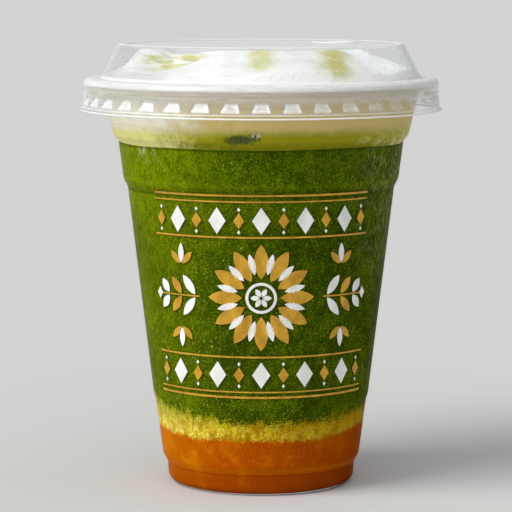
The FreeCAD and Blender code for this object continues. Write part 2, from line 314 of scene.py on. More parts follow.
    def finish(self, surface: Socket) -> bpy.types.Material | bpy.types.World:
        """Send a surface to the output.

        Args:
            surface: The surface, or the world's background.

        Returns:
            The material or the world.
        """
        kind = "ShaderNodeOutputWorld" if self.world else "ShaderNodeOutputMaterial"
        self.add(kind, None, {"Surface": surface})
        return self.owner


# -------------------------------------------------------------------------------- finishes
class Heights:
    """Levels that the finishes know, in millimetres above the table."""

    FOOT_SHADE_LINE = 5.7          # painted shade line under the shoulder of the foot
    FOOT_PAINTED_LIGHT = 7.0          # painted light on that shoulder
    SYRUP = 15.9
    SLUSH = 20.6
    GRIP_SHADE_LINE = 84.0         # painted shade line under the shoulder of the grip
    GRIP_PAINTED_LIGHT = 86.8         # painted light on that shoulder
    NECK_SHADE_LINE = 96.6         # painted shade line under the shoulder of the neck
    SMEAR = 99.9
    PALE = 102.0
    FOAM_LOW = 112.8         # the neck's foam turns into the heap from here
    FOAM_HIGH = 114.6


@dataclass(frozen=True)
class Finish:
    """A named finish."""

    name: str

    def surface(self, shader: Shader) -> Socket:
        """Build the surface; each finish has its own."""
        raise NotImplementedError

    def material(self) -> bpy.types.Material:
        """Build the material."""
        shader = Shader(self.name)
        return shader.finish(self.surface(shader))


@dataclass(frozen=True)
class Haze:
    """A band of thin plastic that looks milky, by height in millimetres; on the lid, some bands are
    painted highlights along bright edges.
    """

    low: float
    high: float
    amount: float
    blend: float = 0.6

    def over(self, height: Value) -> Value:
        """Its share at a height."""
        below = height.rise(self.low - self.blend, self.low)
        return below * height.rise(self.high + self.blend, self.high) * self.amount


@dataclass(frozen=True)
class ClearPlastic(Finish):
    """Thin clear plastic: see-through, with gloss towards its edges and milky bands, some of them
    painted highlights, and painted highlights on the lid's lugs.
    """

    front: float
    edge: float
    fall: float
    hazes: tuple[Haze, ...]
    roughness: float = 0.06
    ripple: float = 0.02
    tint: Colour = (0.985, 0.99, 0.99)
    milk: Colour = (0.93, 0.935, 0.94)
    lug_highlight: float = 0.0
    edge_milk: float = 0.0
    edge_fall: float = 8.0
    most_covered: float = 0.9

    def lugs(self, shader: Shader, across: Value, scuff: Value) -> Value:
        """Painted highlight on the pressed lugs: milky white for their facets' reflections,
        brighter at their edges and weaker towards the right.

        Args:
            shader: The material's nodes.
            across: Distance to the right of the axis.
            scuff: Fine scuffs.

        Returns:
            The painted highlight's share.
        """
        node = shader.add("ShaderNodeAttribute", {"attribute_name": LUG})
        pressed = Value(shader, node.outputs["Fac"])
        # Painted highlight, brighter on each lug's edge columns, fading to the right, away from the
        # key lamp.
        facet_highlight = pressed.rise(0.45, 0.7) * (pressed.rise(0.8, 1.0) * 0.55 + scuff * 0.8 + 0.25)
        return facet_highlight * (across.rise(42.0, -4.0) * 0.75 + 0.25) * self.lug_highlight

    def surface(self, shader: Shader) -> Socket:
        """Glossy and milky plastic over a see-through ground.

        Args:
            shader: The material's nodes.

        Returns:
            The surface.
        """
        across, _, height = shader.axes()
        wave = shader.cloud(6.0, 2.0, (1.0, 1.0, 2.2))
        scuff = shader.cloud(1.1, 3.0)
        patch = shader.cloud(6.0, 3.0, (1.0, 1.0, 0.4), 0.5)
        hoops = shader.hoops(0.9)
        normal = shader.relief(wave, self.ripple)
        facing = shader.facing(normal)
        gloss = facing.power(self.fall) * self.edge + self.front
        milky = facing.power(self.edge_fall) * self.edge_milk
        # The milky share also carries painted highlights: bands that stand for bright edge lines,
        # and the lugs' white.
        for haze in self.hazes:
            milky = milky + haze.over(height)
        if self.lug_highlight > 0.0:
            milky = milky + self.lugs(shader, across, scuff)
        milky = milky * (hoops * 1.3 + patch * 0.5 + 0.13)
        body = shader.solid({
            "Base Color": self.milk, "Metallic": gloss / (gloss + milky + 0.01),
            "Roughness": scuff * 0.05 + (milky * 0.7).least(0.3) + self.roughness,
            "Normal": normal})
        share = (gloss + milky).least(self.most_covered)
        return shader.blend(share, shader.glass(self.tint), body)


@dataclass(frozen=True)
class LayeredDrink(Finish):
    """Orange syrup, grainy yellow slush and green matcha, with ragged borders between them."""

    # The bright colours also carry painted light on the left, and the deep colours and syrup_foot
    # painted shade on the right and under the cup's shoulders.
    syrup: Colour = (0.42, 0.070, 0.0007)
    syrup_deep: Colour = (0.33, 0.047, 0.0005)
    syrup_bright: Colour = (0.52, 0.145, 0.0009)
    syrup_foot: Colour = (0.17, 0.026, 0.0004)
    slush_deep: Colour = (0.32, 0.165, 0.002)
    slush: Colour = (0.58, 0.44, 0.008)
    slush_bright: Colour = (0.93, 0.80, 0.18)
    green_deep: Colour = (0.024, 0.045, 0.0005)
    green: Colour = (0.060, 0.096, 0.0008)
    green_bright: Colour = (0.185, 0.245, 0.0015)
    fleck: Colour = (0.36, 0.41, 0.06)
    frost: Colour = (0.52, 0.53, 0.30)
    half_width: float = 36.0
    low_half_width: float = 30.0

    def syrup_colour(self, shader: Shader, side: Value, height: Value, left: Value) -> Socket:
        """Mottled orange, with painted light on the left, painted shade towards the right, and
        darker towards the foot.

        Args:
            shader: The material's nodes.
            side: Distance to the right of the axis, 1 at the drink's edge.
            height: Height over the table.
            left: How far to the left, 0 to 1, which sets the painted light on the key lamp's side.

        Returns:
            The colour.
        """
        right = side.rise(0.1, 0.8)
        mottle = shader.cloud(6.0, 3.0, (1.0, 1.0, 0.9))
        thread = shader.cloud(1.0, 2.0, (1.0, 1.0, 1.6))
        grain = shader.cloud(0.45, 2.0)
        body = (mottle * 0.6 + grain * 0.9 - 0.15).rise(0.36, 0.84)
        # Painted light towards the left, on the key lamp's side, over lighter mottling that is
        # weaker on the right.
        lit_left_and_mottle = left * 0.95 + mottle.rise(0.52, 0.7) * (0.7 - right * 0.4) + (grain - 0.5) * 0.8
        speck = (thread * grain).rise(0.25, 0.40) * 0.45 * height.rise(2.0, 12.0)
        # Darker towards the foot, and painted shade towards the right, away from the key lamp.
        dark = (height.rise(6.4, 4.6) * 0.45 + right * 0.28).least(0.8)
        return shader.coats(
            shader.mix(body, self.syrup_deep, self.syrup),
            (lit_left_and_mottle.least(1.0), self.syrup_bright), (speck, self.slush_deep),
            (dark, self.syrup_foot),
            # Painted light on the foot's shoulder, and a painted shade line under it.
            (height.hump(Heights.FOOT_PAINTED_LIGHT, 1.5) * 0.4, self.syrup_bright),
            (height.hump(Heights.FOOT_SHADE_LINE, 0.5) * 0.4, self.syrup_foot))

    def slush_colour(self, shader: Shader, side: Value, height: Value, left: Value) -> Socket:
        """Crystalline yellow with bright grains and deeper gaps, greener upwards, with painted
        light on the left and painted shade on the right.

        Args:
            shader: The material's nodes.
            side: Distance to the right of the axis, 1 at the drink's edge.
            height: Height over the table.
            left: How far to the left, 0 to 1, which sets the painted light on the key lamp's side.

        Returns:
            The colour.
        """
        distance, pick = shader.grains(0.7, (1.0, 1.0, 1.3))
        clump = shader.cloud(2.2, 3.0, (1.0, 1.0, 1.4))
        fine = shader.cloud(0.4, 2.0)
        body = (clump * 0.6 + fine * 0.4).rise(0.42, 0.57)
        spark = distance.rise(0.7, 0.15) * pick.rise(0.2, 0.6) * ((clump - 0.5) * 3.4 + fine + 0.1)
        # Pale grains, made brighter towards the left as painted light from the key lamp's side.
        grains_lit_from_left = spark.most(0.0) * (left * 0.8 + 0.6) + left * 0.3
        greening = height - Heights.SLUSH + (clump - 0.5) * 5.0 + (fine - 0.5) * 5.0
        return shader.coats(
            shader.mix(body, self.slush_deep, self.slush),
            (grains_lit_from_left.least(1.0), self.slush_bright),
            (greening.rise(-2.4, 3.2) * 0.7, self.green_bright),
            # Painted shade: deeper towards the right, away from the key lamp.
            (side.rise(-0.5, 0.8) * 0.68, self.slush_deep))

    def green_colour(self, shader: Shader, side: Value, height: Value, left: Value) -> Socket:
        """Deep green with slow blotches, fine grain, pale flecks and frost at the sides, with
        painted light on the left and on the grip's shoulder.

        Args:
            shader: The material's nodes.
            side: Distance to the right of the axis, 1 at the drink's edge.
            height: Height over the table.
            left: How far to the left, 0 to 1, which sets the painted light on the key lamp's side.

        Returns:
            The colour.
        """
        blotch = shader.cloud(15.0, 3.0, (1.0, 1.0, 1.3), 0.6)
        mottle = shader.cloud(2.6, 3.0, (1.0, 1.0, 1.4))
        grain = shader.cloud(0.42, 2.0)
        # Lighter towards the top, with painted light on the grip's shoulder.
        lift = height.rise(70.0, 92.0) * 0.3 + height.hump(Heights.GRIP_PAINTED_LIGHT, 1.2) * 0.4
        light = (blotch - 0.5) * 1.5 + (mottle - 0.5) * 2.0 + (grain - 0.5) * 4.2 + lift + 0.36
        seed = shader.cloud(0.95, 3.0, (1.0, 1.0, 1.7))
        # Painted light: grains and mottling lit up towards the left, on the key lamp's side.
        bright = left * (height.rise(66.0, 90.0) * 0.35 + 0.32) * (grain + seed * 3.2 - 1.1)
        bright = bright.most(0.0) + (light - 0.55).most(0.0) * 0.5
        distance, pick = shader.grains(1.1, (1.0, 1.0, 1.4))
        crowd = shader.cloud(8.0, 2.0).rise(0.36, 0.66)
        fleck = distance.rise(0.26, 0.12) * pick.above(left * -0.25 + 0.6) * crowd
        small, chance = shader.grains(0.62)
        fleck = fleck.most(small.rise(0.34, 0.16) * chance.above(0.66) * (crowd * 0.6 + 0.3))
        streak = shader.cloud(0.7, 3.0, (1.0, 1.0, 2.6)).rise(0.45, 0.8)
        right_edge = side.rise(0.6, 1.0) * height.rise(40.0, 85.0)
        smudge = shader.cloud(2.6, 4.0, (1.0, 1.0, 1.6)).rise(0.46, 0.68)
        patch = (side + 0.88).hump(0.0, 0.2) * height.rise(91.0, 95.5) * smudge
        return shader.coats(
            shader.mix(light.rise(-0.2, 0.95), self.green_deep, self.green),
            (bright.least(1.0), self.green_bright), (fleck * 0.6, self.fleck),
            ((streak * right_edge * 0.45).most(patch * 0.6), self.frost))

    def surface(self, shader: Shader) -> Socket:
        """The three layers over each other, with painted shade lines under the cup's shoulders.

        Args:
            shader: The material's nodes.

        Returns:
            The surface.
        """
        across, _, height = shader.axes()
        side = across / self.half_width
        # How far to the left; the colours lay painted light on the key lamp's side by it.
        left = (side * -1.0).rise(0.15, 1.05)
        low_side = across / self.low_half_width
        low_left = low_side * -1.0
        streak = shader.cloud(1.3, 2.0, (1.0, 1.0, 2.6)) - 0.5
        ragged = shader.cloud(0.42, 2.0) - 0.5
        slow = shader.cloud(9.0, 2.0) - 0.5
        top = (low_left.rise(0.2, 1.0) * 4.2 + low_side.rise(0.6, 1.0) * 1.8
               + streak * (left * 10.0 + 4.0) + ragged * 7.0 + slow * 3.0 + Heights.SLUSH)
        low = (low_left.rise(0.6, 1.0) * 0.9 + low_side.rise(0.55, 1.0) * 1.9
               + streak * 1.8 + ragged * 3.2 + slow * 1.6 + Heights.SYRUP)
        green = self.green_colour(shader, side, height, left)
        slush = self.slush_colour(shader, side, height, left)
        syrup = self.syrup_colour(shader, side, height, left)
        colour = shader.mix((height - top).rise(-0.9, 1.5), slush, green)
        colour = shader.mix((height - low).rise(-0.5, 0.6), syrup, colour)
        # Painted shade lines under the grip's and the neck's shoulders.
        grip_shade_line = height.hump(Heights.GRIP_SHADE_LINE, 0.7) * 0.6
        neck = height.hump(Heights.NECK_SHADE_LINE, 0.6) * 0.55
        colour = shader.mix(grip_shade_line + neck, colour, self.green_deep)
        grit = shader.cloud(0.6, 2.0)
        return shader.solid({
            "Base Color": colour, "Roughness": grit * 0.2 + 0.42,
            "Specular IOR Level": 0.0, "Normal": shader.relief(grit, 0.05)})


@dataclass(frozen=True)
class NeckDrink(Finish):
    """Milky green band, beige wet foam behind the neck, and white foam in the lid."""

    band_low: Colour = (0.19, 0.185, 0.0015)
    band: Colour = (0.30, 0.29, 0.006)
    band_pale: Colour = (0.70, 0.67, 0.25)
    beige: Colour = (0.65, 0.50, 0.19)
    beige_pale: Colour = (0.86, 0.82, 0.66)
    smear: Colour = (0.06, 0.075, 0.006)
    white_painted_darker_left: Colour = (0.70, 0.70, 0.698)
    white: Colour = (0.77, 0.77, 0.767)
    white_painted_lighter_right: Colour = (0.92, 0.92, 0.92)
    cream: Colour = (0.82, 0.80, 0.62)
    tea: Colour = (0.50, 0.48, 0.14)
    bruise: Colour = (0.30, 0.27, 0.07)
    half_width: float = 42.0

    def smear_share(self, side: Value, depth: Value, height: Value, mottle: Value) -> Value:
        """Share of the dark powder smear left of the front, rising a little to the right.

        Args:
            side: Distance to the right of the axis, 1 at the neck's edge.
            depth: Distance behind the axis.
            height: Height over the table.
            mottle: What makes its edge ragged.

        Returns:
            The share.
        """
        along = side * self.half_width + 6.5
        drop = height - Heights.SMEAR - along * 0.1
        blot = (1.0 - along.size() / 7.5) * (1.0 - drop.size() / 2.0)
        patch = blot.most(0.0) + mottle
        near = along.hump(0.0, 8.5) * drop.hump(0.0, 2.4) * depth.rise(0.0, -10.0)
        return patch.rise(0.15, 0.7) * near.rise(0.0, 0.4) * 0.9

    def neck_colour(self, shader: Shader, side: Value, depth: Value, height: Value) -> Socket:
        """The band and the wet foam above it, frosted towards both sides.

        Args:
            shader: The material's nodes.
            side: Distance to the right of the axis, 1 at the neck's edge.
            depth: Distance behind the axis.
            height: Height over the table.

        Returns:
            The colour.
        """
        left = (side * -1.0).rise(0.05, 0.9)
        soft = shader.cloud(5.0, 3.0, (1.0, 1.0, 0.8))
        grain = shader.cloud(0.7, 2.0)
        base = shader.mix((height + soft * 1.6).rise(97.2, 100.8), self.band_low, self.band)
        frost = (left * 1.0 + side.rise(0.35, 1.0) * 0.55 + (soft - 0.5) * 1.2
                 + (grain - 0.5) * 0.9)
        base = shader.mix(frost.rise(0.1, 1.0), base, self.band_pale)
        wet = shader.mix((left + (soft - 0.5)).rise(0.15, 0.95), self.beige, self.beige_pale)
        level = soft * 2.4 + grain * 0.7 + (Heights.PALE - 1.9)
        base = shader.mix((height - level).rise(-1.5, 1.6), base, wet)
        mottle = (soft - 0.5) * 0.5 + (grain - 0.5) * 0.7
        return shader.mix(self.smear_share(side, depth, height, mottle), base, self.smear)

    def heap_colour(self, shader: Shader, across: Value, depth: Value, height: Value) -> Socket:
        """White foam with soft green tints and a streaked lump on the left, its white painted
        darker on the left and lighter on the right.

        Args:
            shader: The material's nodes.
            across: Distance to the right of the axis.
            depth: Distance behind the axis.
            height: Height over the table.

        Returns:
            The colour.
        """
        soft = shader.cloud(4.0, 3.0, (1.0, 1.0, 1.6))
        wander = (soft - 0.5) * 10.0 + (shader.cloud(9.0, 1.0) - 0.5) * 8.0
        tint = (across - 0.3 + wander * 0.45).hump(0.0, 6.8) * 0.8
        tint = tint.most((across - 20.0 + wander * 0.5).hump(0.0, 7.4))
        fade = (depth + 27.0 + wander).size().rise(15.0, 9.0)
        tint = tint * fade * (soft * 0.9 + 0.55) * height.rise(113.6, 117.5)
        ridge = shader.cloud(1.3, 3.0, (6.0, 1.6, 1.0), 0.4)
        lump = across.rise(-12.0, -19.0) * across.rise(-35.5, -30.0) * depth.rise(-6.0, 1.0)
        lump = lump * height.rise(121.6, 120.2) * height.rise(115.6, 117.4)
        return shader.coats(
            # Painted light and shade: the foam's white runs from darker on the left to lighter on
            # the right, to set how bright the lit heap looks.
            shader.mix(across.rise(-32.0, 2.0), self.white_painted_darker_left, self.white),
            (across.rise(2.0, 34.0), self.white_painted_lighter_right), (tint * 0.95, self.tea),
            (soft.rise(0.5, 0.8) * 0.25, self.cream),
            (lump * ridge.rise(0.36, 0.6) * 0.85, self.tea),
            (lump * ridge.rise(0.6, 0.74) * 0.7, self.bruise))

    def surface(self, shader: Shader) -> Socket:
        """The neck's colour under the heap's, soft and bubbly.

        Args:
            shader: The material's nodes.

        Returns:
            The surface.
        """
        across, depth, height = shader.axes()
        neck = self.neck_colour(shader, across / self.half_width, depth, height)
        heap = self.heap_colour(shader, across, depth, height)
        bubble, _ = shader.grains(0.8)
        fluff = shader.cloud(1.6, 3.0)
        return shader.solid({
            "Base Color": shader.mix(height.rise(Heights.FOAM_LOW, Heights.FOAM_HIGH), neck, heap),
            "Roughness": fluff * 0.2 + 0.5, "Specular IOR Level": 0.05,
            "Normal": shader.relief(bubble * 0.35 + fluff * 0.65, 0.22),
            "Subsurface Weight": 0.18, "Subsurface Radius": (0.004, 0.0035, 0.003),
            "Subsurface Scale": 1.0})


@dataclass(frozen=True)
class PrintInk(Finish):
    """A thin layer of ink on the cup, slightly uneven."""

    colour: Colour
    shade: Colour
    metallic: float

    def surface(self, shader: Shader) -> Socket:
        """Ink with thinner and thicker cover.

        Args:
            shader: The material's nodes.

        Returns:
            The surface.
        """
        cover = shader.cloud(3.0, 3.0, (1.0, 1.0, 2.0))
        speck = shader.cloud(0.35, 1.0)
        thin = (cover * 0.8 + speck * 0.4).rise(0.42, 0.8)
        return shader.solid({
            "Base Color": shader.mix(thin, self.colour, self.shade), "Metallic": self.metallic,
            "Roughness": cover * 0.2 + 0.3, "Normal": shader.relief(speck, 0.01)})


@dataclass(frozen=True)
class Droplet(Finish):
    """Small beads of moisture or foam on the lid's inside."""

    colour: Colour = (0.94, 0.945, 0.95)
    tint: Colour = (0.97, 0.98, 0.98)
    edge_blend: float = 0.35

    def surface(self, shader: Shader) -> Socket:
        """Clear beads with cloudy, glossy edges.

        Args:
            shader: The material's nodes.

        Returns:
            The surface.
        """
        edge = shader.facing(blend=self.edge_blend)
        cloudy = shader.cloud(0.5, 1.0)
        bead = shader.solid({"Base Color": self.colour, "Roughness": cloudy * 0.1 + 0.12})
        share = (edge * 0.4 + cloudy * 0.3).least(0.9)
        return shader.blend(share, shader.glass(self.tint), bead)


@dataclass(frozen=True)
class TeaLeaf(Finish):
    """Wet dark tea powder and the pale grains beside it."""

    dark: Colour
    light: Colour

    def surface(self, shader: Shader) -> Socket:
        """Rough mottled powder.

        Args:
            shader: The material's nodes.

        Returns:
            The surface.
        """
        mottle = shader.cloud(0.6, 2.0)
        return shader.solid({
            "Base Color": shader.mix(mottle.rise(0.35, 0.65), self.dark, self.light),
            "Roughness": mottle * 0.3 + 0.4, "Normal": shader.relief(mottle, 0.08)})


@dataclass(frozen=True)
class PaleFloor(Finish):
    """Plain pale ground."""

    colour: Colour = (0.60, 0.60, 0.595)
    shade: float = 0.97

    def surface(self, shader: Shader) -> Socket:
        """Matt ground that varies a little.

        Args:
            shader: The material's nodes.

        Returns:
            The surface.
        """
        darker = tuple(self.shade * part for part in self.colour)
        return shader.solid({
            "Base Color": shader.mix(shader.cloud(140.0, 2.0), self.colour, darker),
            "Roughness": 0.7, "Specular IOR Level": 0.2})


# ------------------------------------------------------------------------------ mesh tools
@dataclass
class Corner:
    """A corner of a turned outline, as radius, height and rounding."""

    radius: float
    height: float
    rounding: float = 0.0

    def spot(self) -> Vector:
        """Its place in the XZ plane."""
        return Vector((self.radius, 0.0, self.height))


def left_of(direction: Vector) -> Vector:
    """The direction a quarter turn to the left, in the XZ plane."""
    return Vector((-direction.z, 0.0, direction.x))


def turn_between(into: Vector, out: Vector) -> float:
    """Signed angle from one direction to another, in the XZ plane."""
    return math.atan2(into.x * out.z - into.z * out.x, into.dot(out))


def outward(angle: float) -> Vector:
    """The level direction at an angle round the upright axis."""
    return Vector((math.cos(angle), math.sin(angle), 0.0))


@dataclass
class Outline:
    """Straight runs joined by tangent arcs, turned about Z to make a shell."""

    corners: list[Corner]
    arc_steps: int = 5
    longest: float = 4.0 * MM
    smallest_round: float = 0.12 * MM
    straight: float = 0.02

    def directions(self) -> list[Vector]:
        """Direction of each run."""
        return [(b.spot() - a.spot()).normalized() for a, b in zip(self.corners, self.corners[1:])]

    def arc(self, corner: Corner, into: Vector, angle: float) -> list[Vector]:
        """Points of the arc that rounds a corner.

        Args:
            corner: The corner.
            into: Direction of the run before it.
            angle: How far the outline turns there.

        Returns:
            The points.
        """
        reach = corner.rounding * math.tan(abs(angle) / 2)
        start = corner.spot() - into * reach
        side = left_of(into) * math.copysign(corner.rounding, angle)
        turns = [Matrix.Rotation(-angle * step / self.arc_steps, 3, "Y")
                 for step in range(self.arc_steps + 1)]
        return [start + side + turn @ (-side) for turn in turns]

    def points(self) -> list[Vector]:
        """Points along the outline, close enough together for smooth shading.

        Returns:
            The points, with long runs split.
        """
        ways = self.directions()
        path = [self.corners[0].spot()]
        for corner, into, out in zip(self.corners[1:], ways, ways[1:]):
            angle = turn_between(into, out)
            if abs(angle) < self.straight or corner.rounding <= 0.0:
                path.append(corner.spot())
            else:
                path += self.arc(corner, into, angle)
        path.append(self.corners[-1].spot())
        fine = [path[0]]
        for start, end in zip(path, path[1:]):
            count = max(1, math.ceil((end - start).length / self.longest))
            fine += [start.lerp(end, (step + 1) / count) for step in range(count)]
        return fine

    def offset(self, distance: float) -> "Outline":
        """The outline that lies a distance to the left of this one.

        Args:
            distance: How far to the left; a negative distance lies to the right.

        Returns:
            The new outline.
        """
        ways = self.directions()
        bases = [corner.spot() + left_of(way) * distance for corner, way in zip(self.corners, ways)]
        moved = [Corner(bases[0].x, bases[0].z)]
        for index in range(1, len(self.corners) - 1):
            into, out = ways[index - 1], ways[index]
            angle = turn_between(into, out)
            spot = bases[index]
            if abs(angle) >= self.straight:
                gap = bases[index] - bases[index - 1]
                cross = into.x * out.z - into.z * out.x
                spot = bases[index - 1] + into * ((gap.x * out.z - gap.z * out.x) / cross)
            rounding = self.corners[index].rounding - distance * math.copysign(1.0, angle)
            moved.append(Corner(spot.x, spot.z, max(rounding, self.smallest_round)))
        last = self.corners[-1].spot() + left_of(ways[-1]) * distance
        moved.append(Corner(last.x, last.z))
        return Outline(moved, self.arc_steps, self.longest)


def radius_lookup(path: Sequence[Vector]) -> Lookup:
    """Radius of an outline at a height.

    Args:
        path: Points of the outline, with heights that rise or fall all the way.

    Returns:
        A function from height to radius.
    """
    rising = sorted(path, key=lambda spot: spot.z)

    def radius(height: float) -> float:
        """Radius at one height.

        Args:
            height: The height.

        Returns:
            The radius, and the end's radius beyond an end.
        """
        if height <= rising[0].z:
            return rising[0].x
        for low, high in zip(rising, rising[1:]):
            if height <= high.z:
                share = (height - low.z) / max(high.z - low.z, 1e-9)
                return low.x + (high.x - low.x) * share
        return rising[-1].x

    return radius


def spin_path(mesh: Mesh, path: Sequence[Vector], steps: int,
              centre: Vector = Vector((0.0, 0.0, 0.0)), merge: float = 1e-5) -> None:
    """Turn a path of points about an upright axis: one sector, doubled until it is whole.

    Args:
        mesh: The mesh to add to.
        path: Points in the XZ plane, from the axis or round a closed section.
        steps: Faces round the axis.
        centre: A point on the axis.
        merge: Distance over which points merge, as a share of the path's radius.
    """
    part = bmesh.new()
    verts = [part.verts.new(spot + centre) for spot in path]
    edges = [part.edges.new(pair) for pair in zip(verts, verts[1:])]
    sectors = next(count for count in (32, 16, 8, 4, 2, 1) if steps % count == 0)
    bmesh.ops.spin(part, geom=verts + edges, cent=centre, axis=Z_AXIS,
                   angle=math.tau / sectors, steps=steps // sectors)
    made = 1
    while made < sectors:
        copy = bmesh.ops.duplicate(part, geom=part.verts[:] + part.edges[:] + part.faces[:])
        moved = [item for item in copy["geom"] if isinstance(item, bmesh.types.BMVert)]
        turn = Matrix.Rotation(math.tau / sectors * made, 3, "Z")
        bmesh.ops.rotate(part, verts=moved, cent=centre, matrix=turn)
        made *= 2
    bmesh.ops.remove_doubles(part, verts=part.verts, dist=merge * max(spot.x for spot in path))
    held = bpy.data.meshes.new("turned")
    part.to_mesh(held)
    part.free()
    mesh.from_mesh(held)
    bpy.data.meshes.remove(held)


def unit_section(rows: int, rings: int, with_bottom: bool = True) -> list[Vector]:
    """Section of a solid of radius 1 and height 1, up its side and back along its top.

    Args:
        rows: Faces up the side.
        rings: Faces along the top.
        with_bottom: Whether the bottom has as many, or one.

    Returns:
        The section's points.
    """
    across = [step / rings for step in range(rings)]
    bottom = [Vector((ring, 0.0, 0.0)) for ring in (across if with_bottom else across[:1])]
    side = [Vector((1.0, 0.0, step / rows)) for step in range(rows + 1)]
    return bottom + side + [Vector((ring, 0.0, 1.0)) for ring in reversed(across)]


def finish_mesh(mesh: Mesh, name: str, crease: float = 35.0) -> Piece:
    """Turn a bmesh into a smooth-shaded object with its creases kept.

    Args:
        mesh: The mesh, which is freed.
        name: The object's name.
        crease: Angle in degrees over which an edge stays sharp.

    Returns:
        The object.
    """
    bmesh.ops.recalc_face_normals(mesh, faces=mesh.faces)
    for face in mesh.faces:
        face.smooth = True
    for edge in mesh.edges:
        edge.smooth = edge.calc_face_angle(0.0) < math.radians(crease)
    data = bpy.data.meshes.new(name)
    mesh.to_mesh(data)
    mesh.free()
    piece = bpy.data.objects.new(name, data)
    bpy.context.scene.collection.objects.link(piece)
    return piece


def dress(piece: Piece, material: bpy.types.Material,
          nodes: Sequence[str] = ()) -> Piece:
    """Give a piece its finish and its body, and hide the CAD nodes that it stands for.

    Args:
        piece: The piece.
        material: Its finish.
        nodes: CAD nodes that it stands for.

    Returns:
        The piece.
    """
    piece.data.materials.append(material)
    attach(piece, BODY)
    if nodes:
        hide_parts(*nodes)
    return piece


